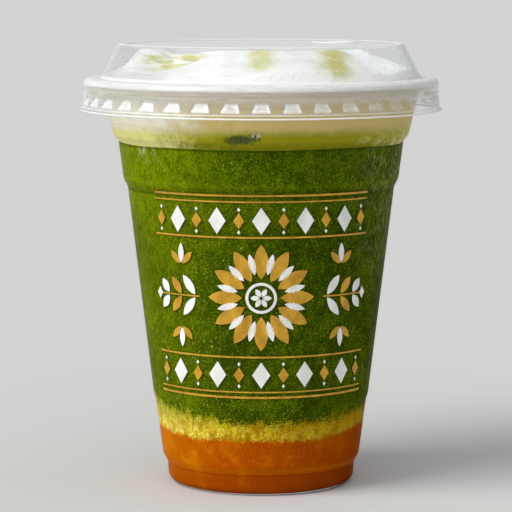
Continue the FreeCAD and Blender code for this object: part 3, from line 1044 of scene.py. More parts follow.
# ------------------------------------------------------------------------------------- cup
@dataclass
class Cup:
    """Thin clear cup with a hollow base, three shoulders and a rolled rim."""

    wall: float = 0.5 * MM
    curl: float = 2.35 * MM
    curl_wrap: float = math.radians(250.0)
    curl_end: float = 0.12
    foot_radius: float = 26.55 * MM
    foot_height: float = 5.5 * MM
    foot_draft: float = 0.06
    foot_round: float = 2.6 * MM
    foot_shoulder: float = 1.3 * MM
    foot_shoulder_height: float = 2.4 * MM
    stand_width: float = 4.4 * MM
    stand_round: float = 0.8 * MM
    punt_slope: float = 1.8 * MM
    punt_height: float = 2.0 * MM
    punt_crown: float = 0.6 * MM
    punt_round: float = 2.0 * MM
    lower_band_top: float = 23.8 * MM
    lower_band_draft: float = 0.138
    lower_band_round: float = 3.0 * MM
    lower_step: float = 0.45 * MM
    lower_step_height: float = 1.1 * MM
    grip_drop: float = 30.3 * MM
    grip_shoulder: float = 1.2 * MM
    grip_shoulder_height: float = 2.4 * MM
    grip_draft: float = 0.129
    stack_drop: float = 17.4 * MM
    stack_shoulder: float = 1.4 * MM
    stack_shoulder_height: float = 1.8 * MM
    shoulder_round: float = 1.6 * MM
    neck_draft: float = 0.24
    neck_straight: float = 1.2 * MM
    neck_round: float = 3.0 * MM
    root: float = 0.7 * MM
    inside_share: float = 0.9
    outside_share: float = 0.95
    curl_steps: int = 24
    steps: int = 256
    height: float = field(init=False)
    rim: float = field(init=False)

    def __post_init__(self) -> None:
        """Take the overall sizes from the frame."""
        low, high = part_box("cup")
        self.height = high.z
        self.rim = (high.x - low.x) / 2

    def curl_centre(self) -> Vector:
        """Middle of the rolled rim's section."""
        return Vector((self.rim - self.curl, 0.0, self.height - self.curl))

    def outer(self) -> Outline:
        """The outside, from the middle of the base up to the rolled rim.

        Returns:
            The outline.
        """
        centre = self.curl_centre()
        neck_radius = centre.x - self.curl + self.wall
        stand = self.foot_radius - self.stand_width
        foot_top = self.foot_radius + self.foot_draft * self.foot_height
        band_foot = foot_top + self.foot_shoulder
        band_low = self.foot_height + self.foot_shoulder_height
        band_top = band_foot + self.lower_band_draft * (self.lower_band_top - band_low)
        step_high = self.lower_band_top + self.lower_step_height
        stack_low = self.height - self.stack_drop
        stack_high = stack_low + self.stack_shoulder_height
        neck_low = neck_radius - self.neck_draft * (centre.z - self.neck_straight - stack_high)
        grip_low = self.height - self.grip_drop
        grip_high = grip_low + self.grip_shoulder_height
        grip_top = neck_low - self.stack_shoulder
        grip_foot = grip_top - self.grip_draft * (stack_low - grip_high)
        return Outline([
            Corner(0.0, self.punt_height + self.punt_crown),
            Corner(stand - self.punt_slope, self.punt_height, self.punt_round),
            Corner(stand, 0.0, self.stand_round),
            Corner(self.foot_radius, 0.0, self.foot_round),
            Corner(foot_top, self.foot_height, self.root),
            Corner(band_foot, band_low, self.lower_band_round),
            Corner(band_top, self.lower_band_top, self.root),
            Corner(band_top + self.lower_step, step_high, self.root),
            Corner(grip_foot - self.grip_shoulder, grip_low, self.root),
            Corner(grip_foot, grip_high, self.shoulder_round),
            Corner(grip_top, stack_low, self.root),
            Corner(neck_low, stack_high, self.shoulder_round),
            Corner(neck_radius, centre.z - self.neck_straight, self.neck_round),
            Corner(neck_radius, centre.z),
        ])

    def inside(self, distance: float) -> Outline:
        """An outline inside the outer one that still starts on the axis.

        Args:
            distance: How far inside.

        Returns:
            The outline.
        """
        outline = self.outer().offset(distance)
        outline.corners[0].radius = 0.0
        return outline

    def wall_radius(self, reach: float) -> Lookup:
        """Radius of the inside at a height, plus a reach into the wall.

        Args:
            reach: How far into the wall.

        Returns:
            A function from height to radius.
        """
        least = self.foot_radius * self.inside_share
        lookup = radius_lookup([spot for spot in self.inside(self.wall).points() if spot.x > least])
        return lambda height: lookup(height) + reach

    def outside_radius(self) -> Lookup:
        """Radius of the outside at a height."""
        least = self.foot_radius * self.outside_share
        return radius_lookup([spot for spot in self.outer().points() if spot.x > least])

    def curl_arc(self, size: float, start: float, end: float, steps: int) -> list[Vector]:
        """Points round the rolled rim's section, without the first and the last.

        Args:
            size: Radius of the arc.
            start: Angle where it starts.
            end: Angle where it ends.
            steps: Runs along it.

        Returns:
            The points.
        """
        angles = [start + (end - start) * step / steps for step in range(1, steps)]
        return [self.curl_centre() + Vector((math.cos(angle), 0.0, math.sin(angle))) * size
                for angle in angles]

    def build(self) -> Piece:
        """Turn the wall's whole section.

        Returns:
            The cup.
        """
        end = math.pi - self.curl_wrap
        inside = self.curl - self.wall
        section = self.outer().points()
        section += self.curl_arc(inside, math.pi, end, self.curl_steps - 2)
        section += self.curl_arc(inside + self.wall / 2, end, end - self.curl_end, 3)
        section += self.curl_arc(self.curl, end, math.pi, self.curl_steps)
        section += reversed(self.inside(self.wall).points())
        mesh = bmesh.new()
        spin_path(mesh, section, self.steps)
        return finish_mesh(mesh, "cup_shell")


# ------------------------------------------------------------------------------------- lid
@dataclass
class Lid:
    """Thin clear lid: dome, straw hole, rim bead, snap lugs, skirt and flared lip."""

    cup: Cup
    wall: float = 0.45 * MM
    seat_gap: float = 0.05 * MM
    side_gap: float = 0.45 * MM
    dome_height: float = 9.5 * MM
    dome_top_inset: float = 9.9 * MM
    dome_round: float = 1.1 * MM
    dome_margin: float = 0.6 * MM
    dome_foot_reach: float = 1.55 * MM
    dome_foot_sink: float = 0.35 * MM
    dome_foot_round: float = 0.6 * MM
    bead_reach: float = 0.45 * MM
    ring_width: float = 2.2 * MM
    ring_round: float = 0.8 * MM
    recess: float = 0.5 * MM
    bead_side: float = 3.2 * MM
    bead_inner_round: float = 0.9 * MM
    bead_round: float = 1.7 * MM
    notch_depth: float = 0.35 * MM
    notch_height: float = 0.6 * MM
    notch_edge: float = 0.25 * MM
    notch_root: float = 0.15 * MM
    flare: float = 0.4 * MM
    lip_flare: float = 0.65 * MM
    lip_height: float = 0.9 * MM
    lip_round: float = 0.5 * MM
    skirt_margin: float = 0.5 * MM
    lug_count: int = 38
    lug_inset: float = 0.85 * MM
    lug_clearance: float = 0.45 * MM
    lug_low_width: float = 4.8 * MM
    lug_high_width: float = 3.3 * MM
    lug_wall_width: float = 0.35 * MM
    lug_height: float = 2.1 * MM
    lug_top: float = 0.5 * MM
    lug_lift: float = 0.85 * MM
    # Marks for a lug's columns from its middle; the highest, at its edge, gets the brightest
    # painted highlight.
    lug_marks: tuple[float, ...] = (0.8, 0.85, 1.0)
    hole_radius: float = 5.0 * MM
    hole_inset: float = 16.65 * MM
    hole_bearing: float = math.radians(26.5)
    collar_width: float = 1.3 * MM
    collar_height: float = 0.6 * MM
    collar_slope: float = 0.35 * MM
    collar_outer_round: float = 0.2 * MM
    collar_inner_round: float = 0.15 * MM
    collar_under_round: float = 0.12 * MM
    columns: int = 10
    slack: float = 0.1 * MM
    crease: float = 30.0

    def top(self) -> float:
        """Height of the bead's top."""
        return self.cup.height + self.seat_gap + self.wall

    def side(self) -> float:
        """Outer radius of the bead."""
        return self.cup.rim + self.side_gap + self.wall

    def plate(self) -> float:
        """Height of the flat top."""
        return self.top() + self.dome_height - self.recess

    def skirt_radius(self) -> float:
        """Radius outside which a point belongs to the skirt."""
        return self.side() - 2 * self.wall - self.skirt_margin

    def lug_high_level(self) -> float:
        """Height of a lug's deepest edge, clear of the rolled rim's underside.

        Returns:
            The height.
        """
        slope = math.hypot(self.lug_inset + self.flare, self.lug_height)
        slant = self.wall * slope / self.lug_height
        centre = self.cup.curl_centre()
        across = self.side() - self.lug_inset - slant - self.lug_clearance - centre.x
        across = min(max(across, 0.0), self.cup.curl)
        return centre.z - math.sqrt(self.cup.curl ** 2 - across ** 2) - self.wall

    def outer(self) -> Outline:
        """The outside, from the plate's edge out and down to the lip.

        Returns:
            The outline.
        """
        side, top = self.side(), self.top()
        rim_middle = self.cup.curl_centre().x
        dome = side - self.dome_top_inset
        dome_top = top + self.dome_height
        notch_top = top - self.bead_side
        notch_middle = notch_top - self.notch_height / 2
        skirt_low = self.lug_high_level() - self.lug_height - self.lug_lift
        return Outline([
            Corner(dome - 2 * self.ring_width, self.plate()),
            Corner(dome - self.ring_width, self.plate(), self.ring_round),
            Corner(dome - self.ring_width / 2, dome_top, self.ring_round),
            Corner(dome, dome_top, self.dome_round),
            Corner(rim_middle - self.dome_foot_reach, top - self.dome_foot_sink,
                   self.dome_foot_round),
            Corner(rim_middle - self.bead_reach, top, self.bead_inner_round),
            Corner(side, top, self.bead_round),
            Corner(side, notch_top, self.notch_edge),
            Corner(side - self.notch_depth, notch_middle, self.notch_root),
            Corner(side, notch_top - self.notch_height, self.notch_edge),
            Corner(side + self.flare, skirt_low, self.lip_round),
            Corner(side + self.flare + self.lip_flare, skirt_low - self.lip_height),
        ], longest=1.6 * MM)

    def dome_radius(self, reach: float) -> Lookup:
        """Radius of the dome's inside at a height, plus a reach into the wall.

        Args:
            reach: How far into the wall.

        Returns:
            A function from height to radius.
        """
        inner = self.outer().offset(-self.wall)
        edge, foot = inner.corners[3:5]
        slope = [spot for spot in inner.points() if spot.z > foot.height
                 and edge.radius - self.dome_margin < spot.x <= foot.radius + NEAR]
        lookup = radius_lookup(slope)
        return lambda height: lookup(height) + reach

    def lug_levels(self, path: list[Vector]) -> list[Vector]:
        """Add points to a skirt path at the heights where a lug bends.

        Args:
            path: Points of the lid's outline, from the plate down to the lip.

        Returns:
            The points with the new ones.
        """
        high = self.lug_high_level()
        full = list(path)
        for level in (high - self.lug_height, high, high + self.lug_top):
            for index, (start, end) in enumerate(zip(full, full[1:])):
                if start.z > level > end.z and start.x > self.skirt_radius():
                    full.insert(index + 1, start.lerp(end, (start.z - level) / (start.z - end.z)))
                    break
        return full

    def lug_swing(self, column: int, rise: float, radius: float) -> float:
        """Angle from a lug's middle at which a column of points ends up.

        Args:
            column: The column, counted from the lug's middle.
            rise: How far up the lug, 0 to 1.
            radius: The skirt's radius there.

        Returns:
            The angle.
        """
        face = len(self.lug_marks) - 1
        half = (self.lug_low_width + (self.lug_high_width - self.lug_low_width) * rise) / 2 / radius
        if column <= face:
            return half * column / face
        if column == face + 1:
            return half + self.lug_wall_width / radius
        return column * (math.tau / self.lug_count / self.columns)

    def press_lugs(self, mesh: Mesh) -> None:
        """Push the skirt inwards at each lug, with slanted ends and a sloping face.

        Args:
            mesh: The lid's mesh, whose skirt has a column of points at each step.
        """
        high = self.lug_high_level()
        low = high - self.lug_height
        ceiling = high + self.lug_top
        pitch = math.tau / self.lug_count
        marked = mesh.verts.layers.float.new(LUG)
        for vert in mesh.verts:
            radius = math.hypot(vert.co.x, vert.co.y)
            if radius < self.skirt_radius() or not low - NEAR < vert.co.z < ceiling + NEAR:
                continue
            angle = math.atan2(vert.co.y, vert.co.x) + math.pi / 2
            middle = round(angle / pitch) * pitch
            column = round((angle - middle) / (pitch / self.columns))
            rise = min((vert.co.z - low) / self.lug_height, 1.0)
            swing = math.copysign(self.lug_swing(abs(column), rise, radius), column)
            if abs(column) < len(self.lug_marks):
                press = (self.lug_inset + self.flare * rise) * rise
                if vert.co.z > high:
                    press *= max(0.0, (ceiling - vert.co.z) / self.lug_top)
                if vert.co.z < high + self.slack:
                    vert[marked] = self.lug_marks[abs(column)]
                radius -= press
            turned = middle + swing - math.pi / 2
            vert.co.x = radius * math.cos(turned)
            vert.co.y = radius * math.sin(turned)

    def hole_centre(self) -> Vector:
        """Middle of the straw hole, at no height."""
        reach = self.side() - self.dome_top_inset - self.hole_inset
        return outward(self.hole_bearing) * reach

    def collar_section(self) -> list[Vector]:
        """Section of the collar, from its outer foot on top, round the hole, to its underside.

        Returns:
            The section's points.
        """
        wide = self.hole_radius + self.collar_width
        top, under = self.plate(), self.plate() - self.wall
        return Outline([
            Corner(wide + self.collar_slope, top),
            Corner(wide, top + self.collar_height, self.collar_outer_round),
            Corner(self.hole_radius, top + self.collar_height, self.collar_inner_round),
            Corner(self.hole_radius, under + self.collar_height, self.collar_under_round),
            Corner(wide - self.wall, under + self.collar_height, self.collar_under_round),
            Corner(wide - self.wall + self.collar_slope, under),
        ], arc_steps=3, longest=2.0 * MM).points()

    def join_plate(self, mesh: Mesh, level: float) -> None:
        """Fill the flat plate between its edge and the straw hole's collar, spoke by spoke.

        Args:
            mesh: The lid's mesh, with both open loops at the level.
            level: The height of the plate's face.
        """
        hole = self.hole_centre()
        reach = self.hole_radius + 2.0 * self.collar_width
        steps = self.lug_count * self.columns
        edge: dict[int, bmesh.types.BMVert] = {}
        collar: dict[int, bmesh.types.BMVert] = {}
        for vert in mesh.verts:
            if abs(vert.co.z - level) > self.slack or not vert.is_boundary:
                continue
            from_hole = vert.co - hole
            inside = math.hypot(from_hole.x, from_hole.y) < reach
            spot = from_hole if inside else vert.co
            spoke = round(math.atan2(spot.y, spot.x) / math.tau * steps) % steps
            (collar if inside else edge)[spoke] = vert
        for spoke in range(steps):
            after = (spoke + 1) % steps
            mesh.faces.new((edge[spoke], edge[after], collar[after], collar[spoke]))

    def build(self) -> Piece:
        """Turn the shell, press its lugs and fill the plate round the straw hole.

        Returns:
            The lid.
        """
        outer = self.outer()
        section = self.lug_levels(outer.points())
        section += reversed(self.lug_levels(outer.offset(-self.wall).points()))
        steps = self.lug_count * self.columns
        mesh = bmesh.new()
        spin_path(mesh, section, steps)
        self.press_lugs(mesh)
        spin_path(mesh, self.collar_section(), steps, centre=self.hole_centre())
        for level in (self.plate(), self.plate() - self.wall):
            self.join_plate(mesh, level)
        return finish_mesh(mesh, "lid_shell", self.crease)


# ----------------------------------------------------------------------------------- drink
@dataclass(frozen=True)
class Wave:
    """One slow wave of a surface: height, length, heading and phase."""

    height: float
    length: float
    heading: float
    phase: float

    def at(self, x: float, y: float) -> float:
        """Its height at a point."""
        along = x * math.cos(math.radians(self.heading)) + y * math.sin(math.radians(self.heading))
        return self.height * math.sin(math.tau * along / self.length + self.phase)


@dataclass(frozen=True)
class Level:
    """The uneven surface between two layers."""

    height: float
    waves: tuple[Wave, ...] = ()
    tilt: float = 0.0

    def at(self, x: float, y: float) -> float:
        """Its height at a point."""
        return self.height + self.tilt * x + sum(wave.at(x, y) for wave in self.waves)


def waves(*rows: tuple[float, float, float, float]) -> tuple[Wave, ...]:
    """Waves from rows of height and length in millimetres, heading and phase."""
    return tuple(Wave(height * MM, length * MM, *rest) for height, length, *rest in rows)


SYRUP_TOP = Level(16.0 * MM, waves((0.25, 34.0, 20.0, 0.4), (0.18, 23.0, 110.0, 1.9)))
SLUSH_TOP = Level(21.0 * MM, waves((0.55, 46.0, 15.0, 2.2), (0.35, 27.0, 75.0, 0.8),
                                   (0.3, 21.0, 140.0, 3.1)), -0.035)
MATCHA_TOP = Level(96.9 * MM, waves((0.1, 52.0, 30.0, 1.0), (0.08, 29.0, 95.0, 2.6)))
PALE_TOP = Level(102.0 * MM, waves((0.6, 48.0, 40.0, 0.3), (0.35, 26.0, 120.0, 1.4)), 0.008)


@dataclass
class Column:
    """A round solid between two uneven levels, out to a radius that depends on height."""

    name: str
    low: Level
    high: Level
    radius: Lookup
    relief: float = 0.0
    grain: float = 1.0 * MM
    steps: int = 256
    side_rows: int = 24
    cap_rings: int = 4
    crease: float = 60.0

    def level_height(self, level: Level, way: Vector, share: float) -> float:
        """Height of a level in one direction, at a share of the way out to the wall."""
        flat = way * (self.radius(level.height) * share)
        return level.at(flat.x, flat.y)

    def place(self, vert: bmesh.types.BMVert) -> Vector:
        """Where a vertex of the unit solid belongs.

        Args:
            vert: The vertex.

        Returns:
            Its place.
        """
        share = math.hypot(vert.co.x, vert.co.y)
        way = outward(math.atan2(vert.co.y, vert.co.x))
        low = self.level_height(self.low, way, share)
        high = self.level_height(self.high, way, share)
        height = low + (high - low) * vert.co.z
        radius = self.radius(height) * share
        if self.relief > 0.0 and share > 0.99 and 0.0 < vert.co.z < 1.0:
            spot = Vector((way.x * radius, way.y * radius, height)) / self.grain
            radius += self.relief * (noise.fractal(spot, 1.0, 2.0, 3) * 0.5)
        return Vector((way.x * radius, way.y * radius, height))

    def build(self) -> Piece:
        """Turn the unit solid and move it into place.

        Returns:
            The layer.
        """
        mesh = bmesh.new()
        spin_path(mesh, unit_section(self.side_rows, self.cap_rings), self.steps)
        for vert in mesh.verts:
            vert.co = self.place(vert)
        return finish_mesh(mesh, self.name, self.crease)


@dataclass
class SyrupColumn:
    """The bottom layer, which fills the ring round the hollow base."""

    name: str
    cup: Cup
    high: Level
    radius: Lookup
    growth: float = 0.6
    steps: int = 256
    cap_rings: int = 5
    crease: float = 60.0

    def build(self) -> Piece:
        """Turn the cup's inside outline, grown into the wall, up to the layer's top.

        Returns:
            The layer.
        """
        level = self.high.height
        least = self.cup.foot_radius * self.cup.inside_share
        path = self.cup.inside(self.cup.wall * self.growth).points()
        count = next(index for index, spot in enumerate(path) if spot.z > level and spot.x > least)
        edge = self.radius(level)
        path = path[:count] + [Vector((edge, 0.0, level))]
        path += [Vector((edge * (ring / self.cap_rings), 0.0, level))
                 for ring in reversed(range(self.cap_rings))]
        mesh = bmesh.new()
        spin_path(mesh, path, self.steps)
        start = self.cup.foot_height
        for vert in mesh.verts:
            share = max(0.0, (vert.co.z - start) / (level - start))
            vert.co.z += (self.high.at(vert.co.x, vert.co.y) - level) * share
        return finish_mesh(mesh, self.name, self.crease)


@dataclass(frozen=True)
class Mound:
    """One rounded mound of foam: place, half widths on four sides, height and steepness."""

    x: float
    y: float
    left: float
    right: float
    front: float
    back: float
    height: float
    steepness: float

    def at(self, x: float, y: float) -> float:
        """Its height over the foam's edge level, with lengths in millimetres.

        Args:
            x: Distance to the right of the axis.
            y: Distance behind the axis.

        Returns:
            The height.
        """
        across = (x - self.x) / (self.left if x < self.x else self.right)
        depth = (y - self.y) / (self.front if y < self.y else self.back)
        return self.height / (1.0 + (across * across + depth * depth) ** self.steepness)


@dataclass(frozen=True)
class Ridges:
    """Wandering ridges on a lump of foam, in millimetres."""

    x: float = -27.0
    y: float = 5.0
    width: float = 12.0
    depth: float = 9.0
    height: float = 0.42
    pitch: Spot = (0.75, 1.9)

    def at(self, x: float, y: float) -> float:
        """Their height at a point.

        Args:
            x: Distance to the right of the axis.
            y: Distance behind the axis.

        Returns:
            The height.
        """
        lump = math.exp(-((x - self.x) / self.width) ** 2 - ((y - self.y) / self.depth) ** 2)
        wander = 1.5 * noise.noise(Vector((x, y, 0.0)) / 6.0)
        return self.height * lump * math.sin((y * self.pitch[1] + x * self.pitch[0]) + wander)


@dataclass
class Foam:
    """The foam, from the milky band up through the neck to the heap in the lid."""

    cup: Cup
    lid: Lid
    edge_rise: float = 0.3
    edge_room: float = 0.6 * MM
    edge_tries: int = 12
    edge_pull: float = 0.6
    reach: float = 0.12 * MM
    upright: float = 0.4
    fine_relief: float = 0.28
    steps: int = 320
    side_rows: int = 34
    top_rings: int = 96
    crease: float = 75.0
    mounds: tuple[Mound, ...] = (
        Mound(4.0, -13.0, 22.0, 27.5, 26.5, 18.5, 8.9, 2.4),
        Mound(-32.4, 8.0, 5.0, 7.2, 5.0, 10.0, 6.3, 1.5),
        Mound(-8.4, 7.0, 17.0, 9.5, 4.0, 5.5, 5.2, 1.3),
        Mound(29.0, 0.5, 7.0, 15.2, 13.0, 13.0, 2.3, 3.5),
    )
    swells: tuple[Wave, ...] = (
        Wave(0.35, 31.0, 65.0, 0.7), Wave(0.25, 19.0, 10.0, 2.0), Wave(0.2, 13.0, 130.0, 0.5))
    ridges: Ridges = Ridges()
    neck: Lookup = field(init=False)
    dome: Lookup = field(init=False)
    dome_foot: float = field(init=False)
    ceiling: float = field(init=False)

    def __post_init__(self) -> None:
        """Take the room's outline from the cup and the lid."""
        self.neck = self.cup.wall_radius(self.reach)
        self.dome = self.lid.dome_radius(self.reach)
        self.dome_foot = self.lid.top() - self.lid.dome_foot_sink - self.lid.wall
        self.ceiling = self.lid.plate() - self.lid.wall + self.reach

    def radius(self, height: float) -> float:
        """Radius of the room for the foam at a height.

        Args:
            height: The height.

        Returns:
            The radius: the neck's, then past the rolled rim to the dome's.
        """
        rim = self.cup.curl_centre().z
        if height <= rim:
            return self.neck(height)
        upright = rim + self.upright * self.cup.curl
        if height > self.dome_foot:
            return self.dome(height)
        share = max(0.0, (height - upright) / (self.dome_foot - upright))
        return self.neck(rim) + (self.dome(self.dome_foot) - self.neck(rim)) * share

    def top_height(self, x: float, y: float) -> float:
        """Height of the heap's surface at a point, with its fine relief.

        Args:
            x: Distance to the right of the axis.
            y: Distance behind the axis.

        Returns:
            The height.
        """
        x, y = x / MM, y / MM
        total = self.cup.height / MM + self.edge_rise
        total += sum(mound.at(x, y) for mound in self.mounds)
        total += sum(swell.at(x, y) for swell in self.swells)
        total += self.ridges.at(x, y)
        total += self.fine_relief * noise.fractal(Vector((x, y, 3.0)) / 7.0, 1.0, 2.0, 4)
        return total * MM

    def edge_height(self, way: Vector) -> float:
        """Height at which the heap leaves the wall, in one direction.

        Args:
            way: The direction.

        Returns:
            The height.
        """
        height = self.cup.height
        for _ in range(self.edge_tries):
            radius = self.radius(height)
            target = self.top_height(way.x * radius, way.y * radius)
            height += (min(target, self.ceiling - self.edge_room) - height) * self.edge_pull
        return height

    def build(self) -> Piece:
        """Turn a unit solid and move it into the room under the heap's surface.

        Returns:
            The foam.
        """
        mesh = bmesh.new()
        spin_path(mesh, unit_section(self.side_rows, self.top_rings, False), self.steps)
        edges: dict[int, float] = {}
        floor_radius = self.radius(PALE_TOP.height)
        for vert in mesh.verts:
            share = math.hypot(vert.co.x, vert.co.y)
            angle = math.atan2(vert.co.y, vert.co.x)
            way = outward(angle)
            key = round(angle / math.tau * self.steps) % self.steps
            if key not in edges:
                edges[key] = self.edge_height(way)
            edge = edges[key]
            if vert.co.z >= 1.0 and share < 0.999:
                spot = way * (self.radius(edge) * share)
                spot.z = min(self.top_height(spot.x, spot.y), self.ceiling)
            else:
                reach = floor_radius * share
                low = PALE_TOP.at(way.x * reach, way.y * reach)
                height = low + (edge - low) * vert.co.z
                spot = way * share * self.radius(height)
                spot.z = height
            vert.co = spot
        return finish_mesh(mesh, "foam_heap", self.crease)


@dataclass
class Drink:
    """The layers of the drink and its foam."""

    cup: Cup
    lid: Lid
    reach: float = 0.15 * MM

    def build(self) -> list[Piece]:
        """Make and dress the layers.

        Returns:
            The pieces, from the bottom up.
        """
        radius = self.cup.wall_radius(self.reach)
        drink = LayeredDrink("layered_drink").material()
        neck = NeckDrink("neck_and_foam").material()
        syrup = SyrupColumn("syrup", self.cup, SYRUP_TOP, radius)
        slush = Column("slush", SYRUP_TOP, SLUSH_TOP, radius, relief=0.12 * MM, grain=0.9 * MM,
                       steps=360, side_rows=20)
        matcha = Column("matcha", SLUSH_TOP, MATCHA_TOP, radius, relief=0.03 * MM, grain=1.6 * MM,
                        side_rows=120)
        band = Column("milky_band", MATCHA_TOP, PALE_TOP, radius)
        layers = ((syrup, drink, "syrup_layer"), (slush, drink, "slush_layer"),
                  (matcha, drink, "matcha_layer"), (band, neck, "pale_layer"),
                  (Foam(self.cup, self.lid), neck, "foam"))
        return [dress(layer.build(), material, [node]) for layer, material, node in layers]


# --------------------------------------------------------------------------------- details
@dataclass
class Scatter:
    """Many small rounded bits laid on a surface, joined in one piece."""

    name: str
    count: int
    seed: int
    smallest: float
    largest: float
    flatten: float
    crease: float = 80.0

    def build(self, place: Callable[[random.Random], tuple[Vector, Vector]]) -> Piece:
        """Lay the bits.

        Args:
            place: Picks a bit's middle and the surface's normal there.

        Returns:
            The joined piece.
        """
        rng = random.Random(self.seed)
        mesh = bmesh.new()
        for _ in range(self.count):
            middle, normal = place(rng)
            size = self.smallest + (self.largest - self.smallest) * rng.random() ** 2.5
            shape = Matrix.Diagonal((size, size * rng.uniform(0.7, 1.0), size * self.flatten, 1.0))
            spin = Matrix.Rotation(rng.uniform(0.0, math.tau), 4, "Z")
            aim = normal.to_track_quat("Z", "Y").to_matrix().to_4x4()
            matrix = Matrix.Translation(middle) @ aim @ spin @ shape
            bmesh.ops.create_icosphere(mesh, subdivisions=1, radius=1.0, matrix=matrix)
        return finish_mesh(mesh, self.name, self.crease)


def on_wall(angle: float, radius: Lookup, height: float) -> tuple[Vector, Vector]:
    """A spot on a turned wall, and the level direction outwards there.

    Args:
        angle: Degrees round the upright axis.
        radius: The wall's radius by height.
        height: The spot's height.

    Returns:
        The spot and the direction.
    """
    way = outward(math.radians(angle))
    spot = way * radius(height)
    spot.z = height
    return spot, way


@dataclass
class Details:
    """Beads in the dome, and the clump of tea powder and pale grains in the neck."""

    cup: Cup
    lid: Lid
    dome: Lookup = field(init=False)
    wall: Lookup = field(init=False)
    bead_reach: float = -0.05 * MM
    clump_reach: float = 0.22 * MM
    bead_angles: Spot = (-42.0, 222.0)
    bead_heights: Spot = (0.3, 8.4)
    up_tilt: Vector = Vector((0.0, 0.0, 0.5))
    clump_start: float = -101.5
    clump_width: float = 10.5
    clump_low: float = 99.1
    clump_rise: float = 1.2
    clump_spread: Spot = (1.0, 0.6)
    grains_angle: float = -92.0
    grains_height: float = 100.7
    grains_spread: Spot = (1.1, 0.5)

    def __post_init__(self) -> None:
        """Take both walls from the cup and the lid."""
        self.dome = self.lid.dome_radius(self.bead_reach)
        self.wall = self.cup.wall_radius(self.clump_reach)

    def on_dome(self, rng: random.Random) -> tuple[Vector, Vector]:
        """A spot on the dome's inside, away from the front.

        Args:
            rng: Where its random numbers come from.

        Returns:
            The spot and the normal there.
        """
        angle = rng.uniform(*self.bead_angles)
        height = self.lid.top() + rng.uniform(*self.bead_heights) * MM
        spot, way = on_wall(angle, self.dome, height)
        return spot, way + self.up_tilt

    def in_clump(self, rng: random.Random) -> tuple[Vector, Vector]:
        """A spot in the dark clump left of the front.

        Args:
            rng: Where its random numbers come from.

        Returns:
            The spot and the normal there.
        """
        share = rng.random()
        wide, tall = self.clump_spread
        angle = self.clump_start + self.clump_width * share + rng.gauss(0.0, wide)
        height = self.clump_low + self.clump_rise * share + rng.gauss(0.0, tall)
        return on_wall(angle, self.wall, height * MM)

    def beside_clump(self, rng: random.Random) -> tuple[Vector, Vector]:
        """A spot at the clump's pale end.

        Args:
            rng: Where its random numbers come from.

        Returns:
            The spot and the normal there.
        """
        wide, tall = self.grains_spread
        angle = self.grains_angle + rng.gauss(0.0, wide)
        height = self.grains_height + rng.gauss(0.0, tall)
        return on_wall(angle, self.wall, height * MM)

    def build(self) -> list[Piece]:
        """Make and dress the bits.

        Returns:
            The pieces.
        """
        beads = Scatter("dome_beads", 420, 11, 0.12 * MM, 0.45 * MM, 0.5).build(self.on_dome)
        flecks = Scatter("tea_flecks", 150, 5, 0.10 * MM, 0.34 * MM, 0.4).build(self.in_clump)
        grains = Scatter("milk_grains", 26, 9, 0.12 * MM, 0.32 * MM, 0.5).build(self.beside_clump)
        tea = TeaLeaf("wet_tea", (0.045, 0.058, 0.008), (0.10, 0.115, 0.02))
        milk = TeaLeaf("milk_foam", (0.45, 0.44, 0.25), (0.8, 0.79, 0.66))
        return [dress(beads, Droplet("moisture").material()),
                dress(flecks, tea.material()),
                dress(grains, milk.material())]


# ----------------------------------------------------------------------------------- print
class Ink(Enum):
    """The two inks of the print."""

    GOLD = "print_gold"
    WHITE = "print_white"


@dataclass(frozen=True)
class Petal:
    """A pointed oval, in millimetres: distance from its centre, length and width."""

    start: float
    length: float
    width: float
    fullness: float = 0.8


@dataclass(frozen=True)
class Diamond:
    """An upright diamond, in millimetres: half width and half height."""

    half: float
    tall: float


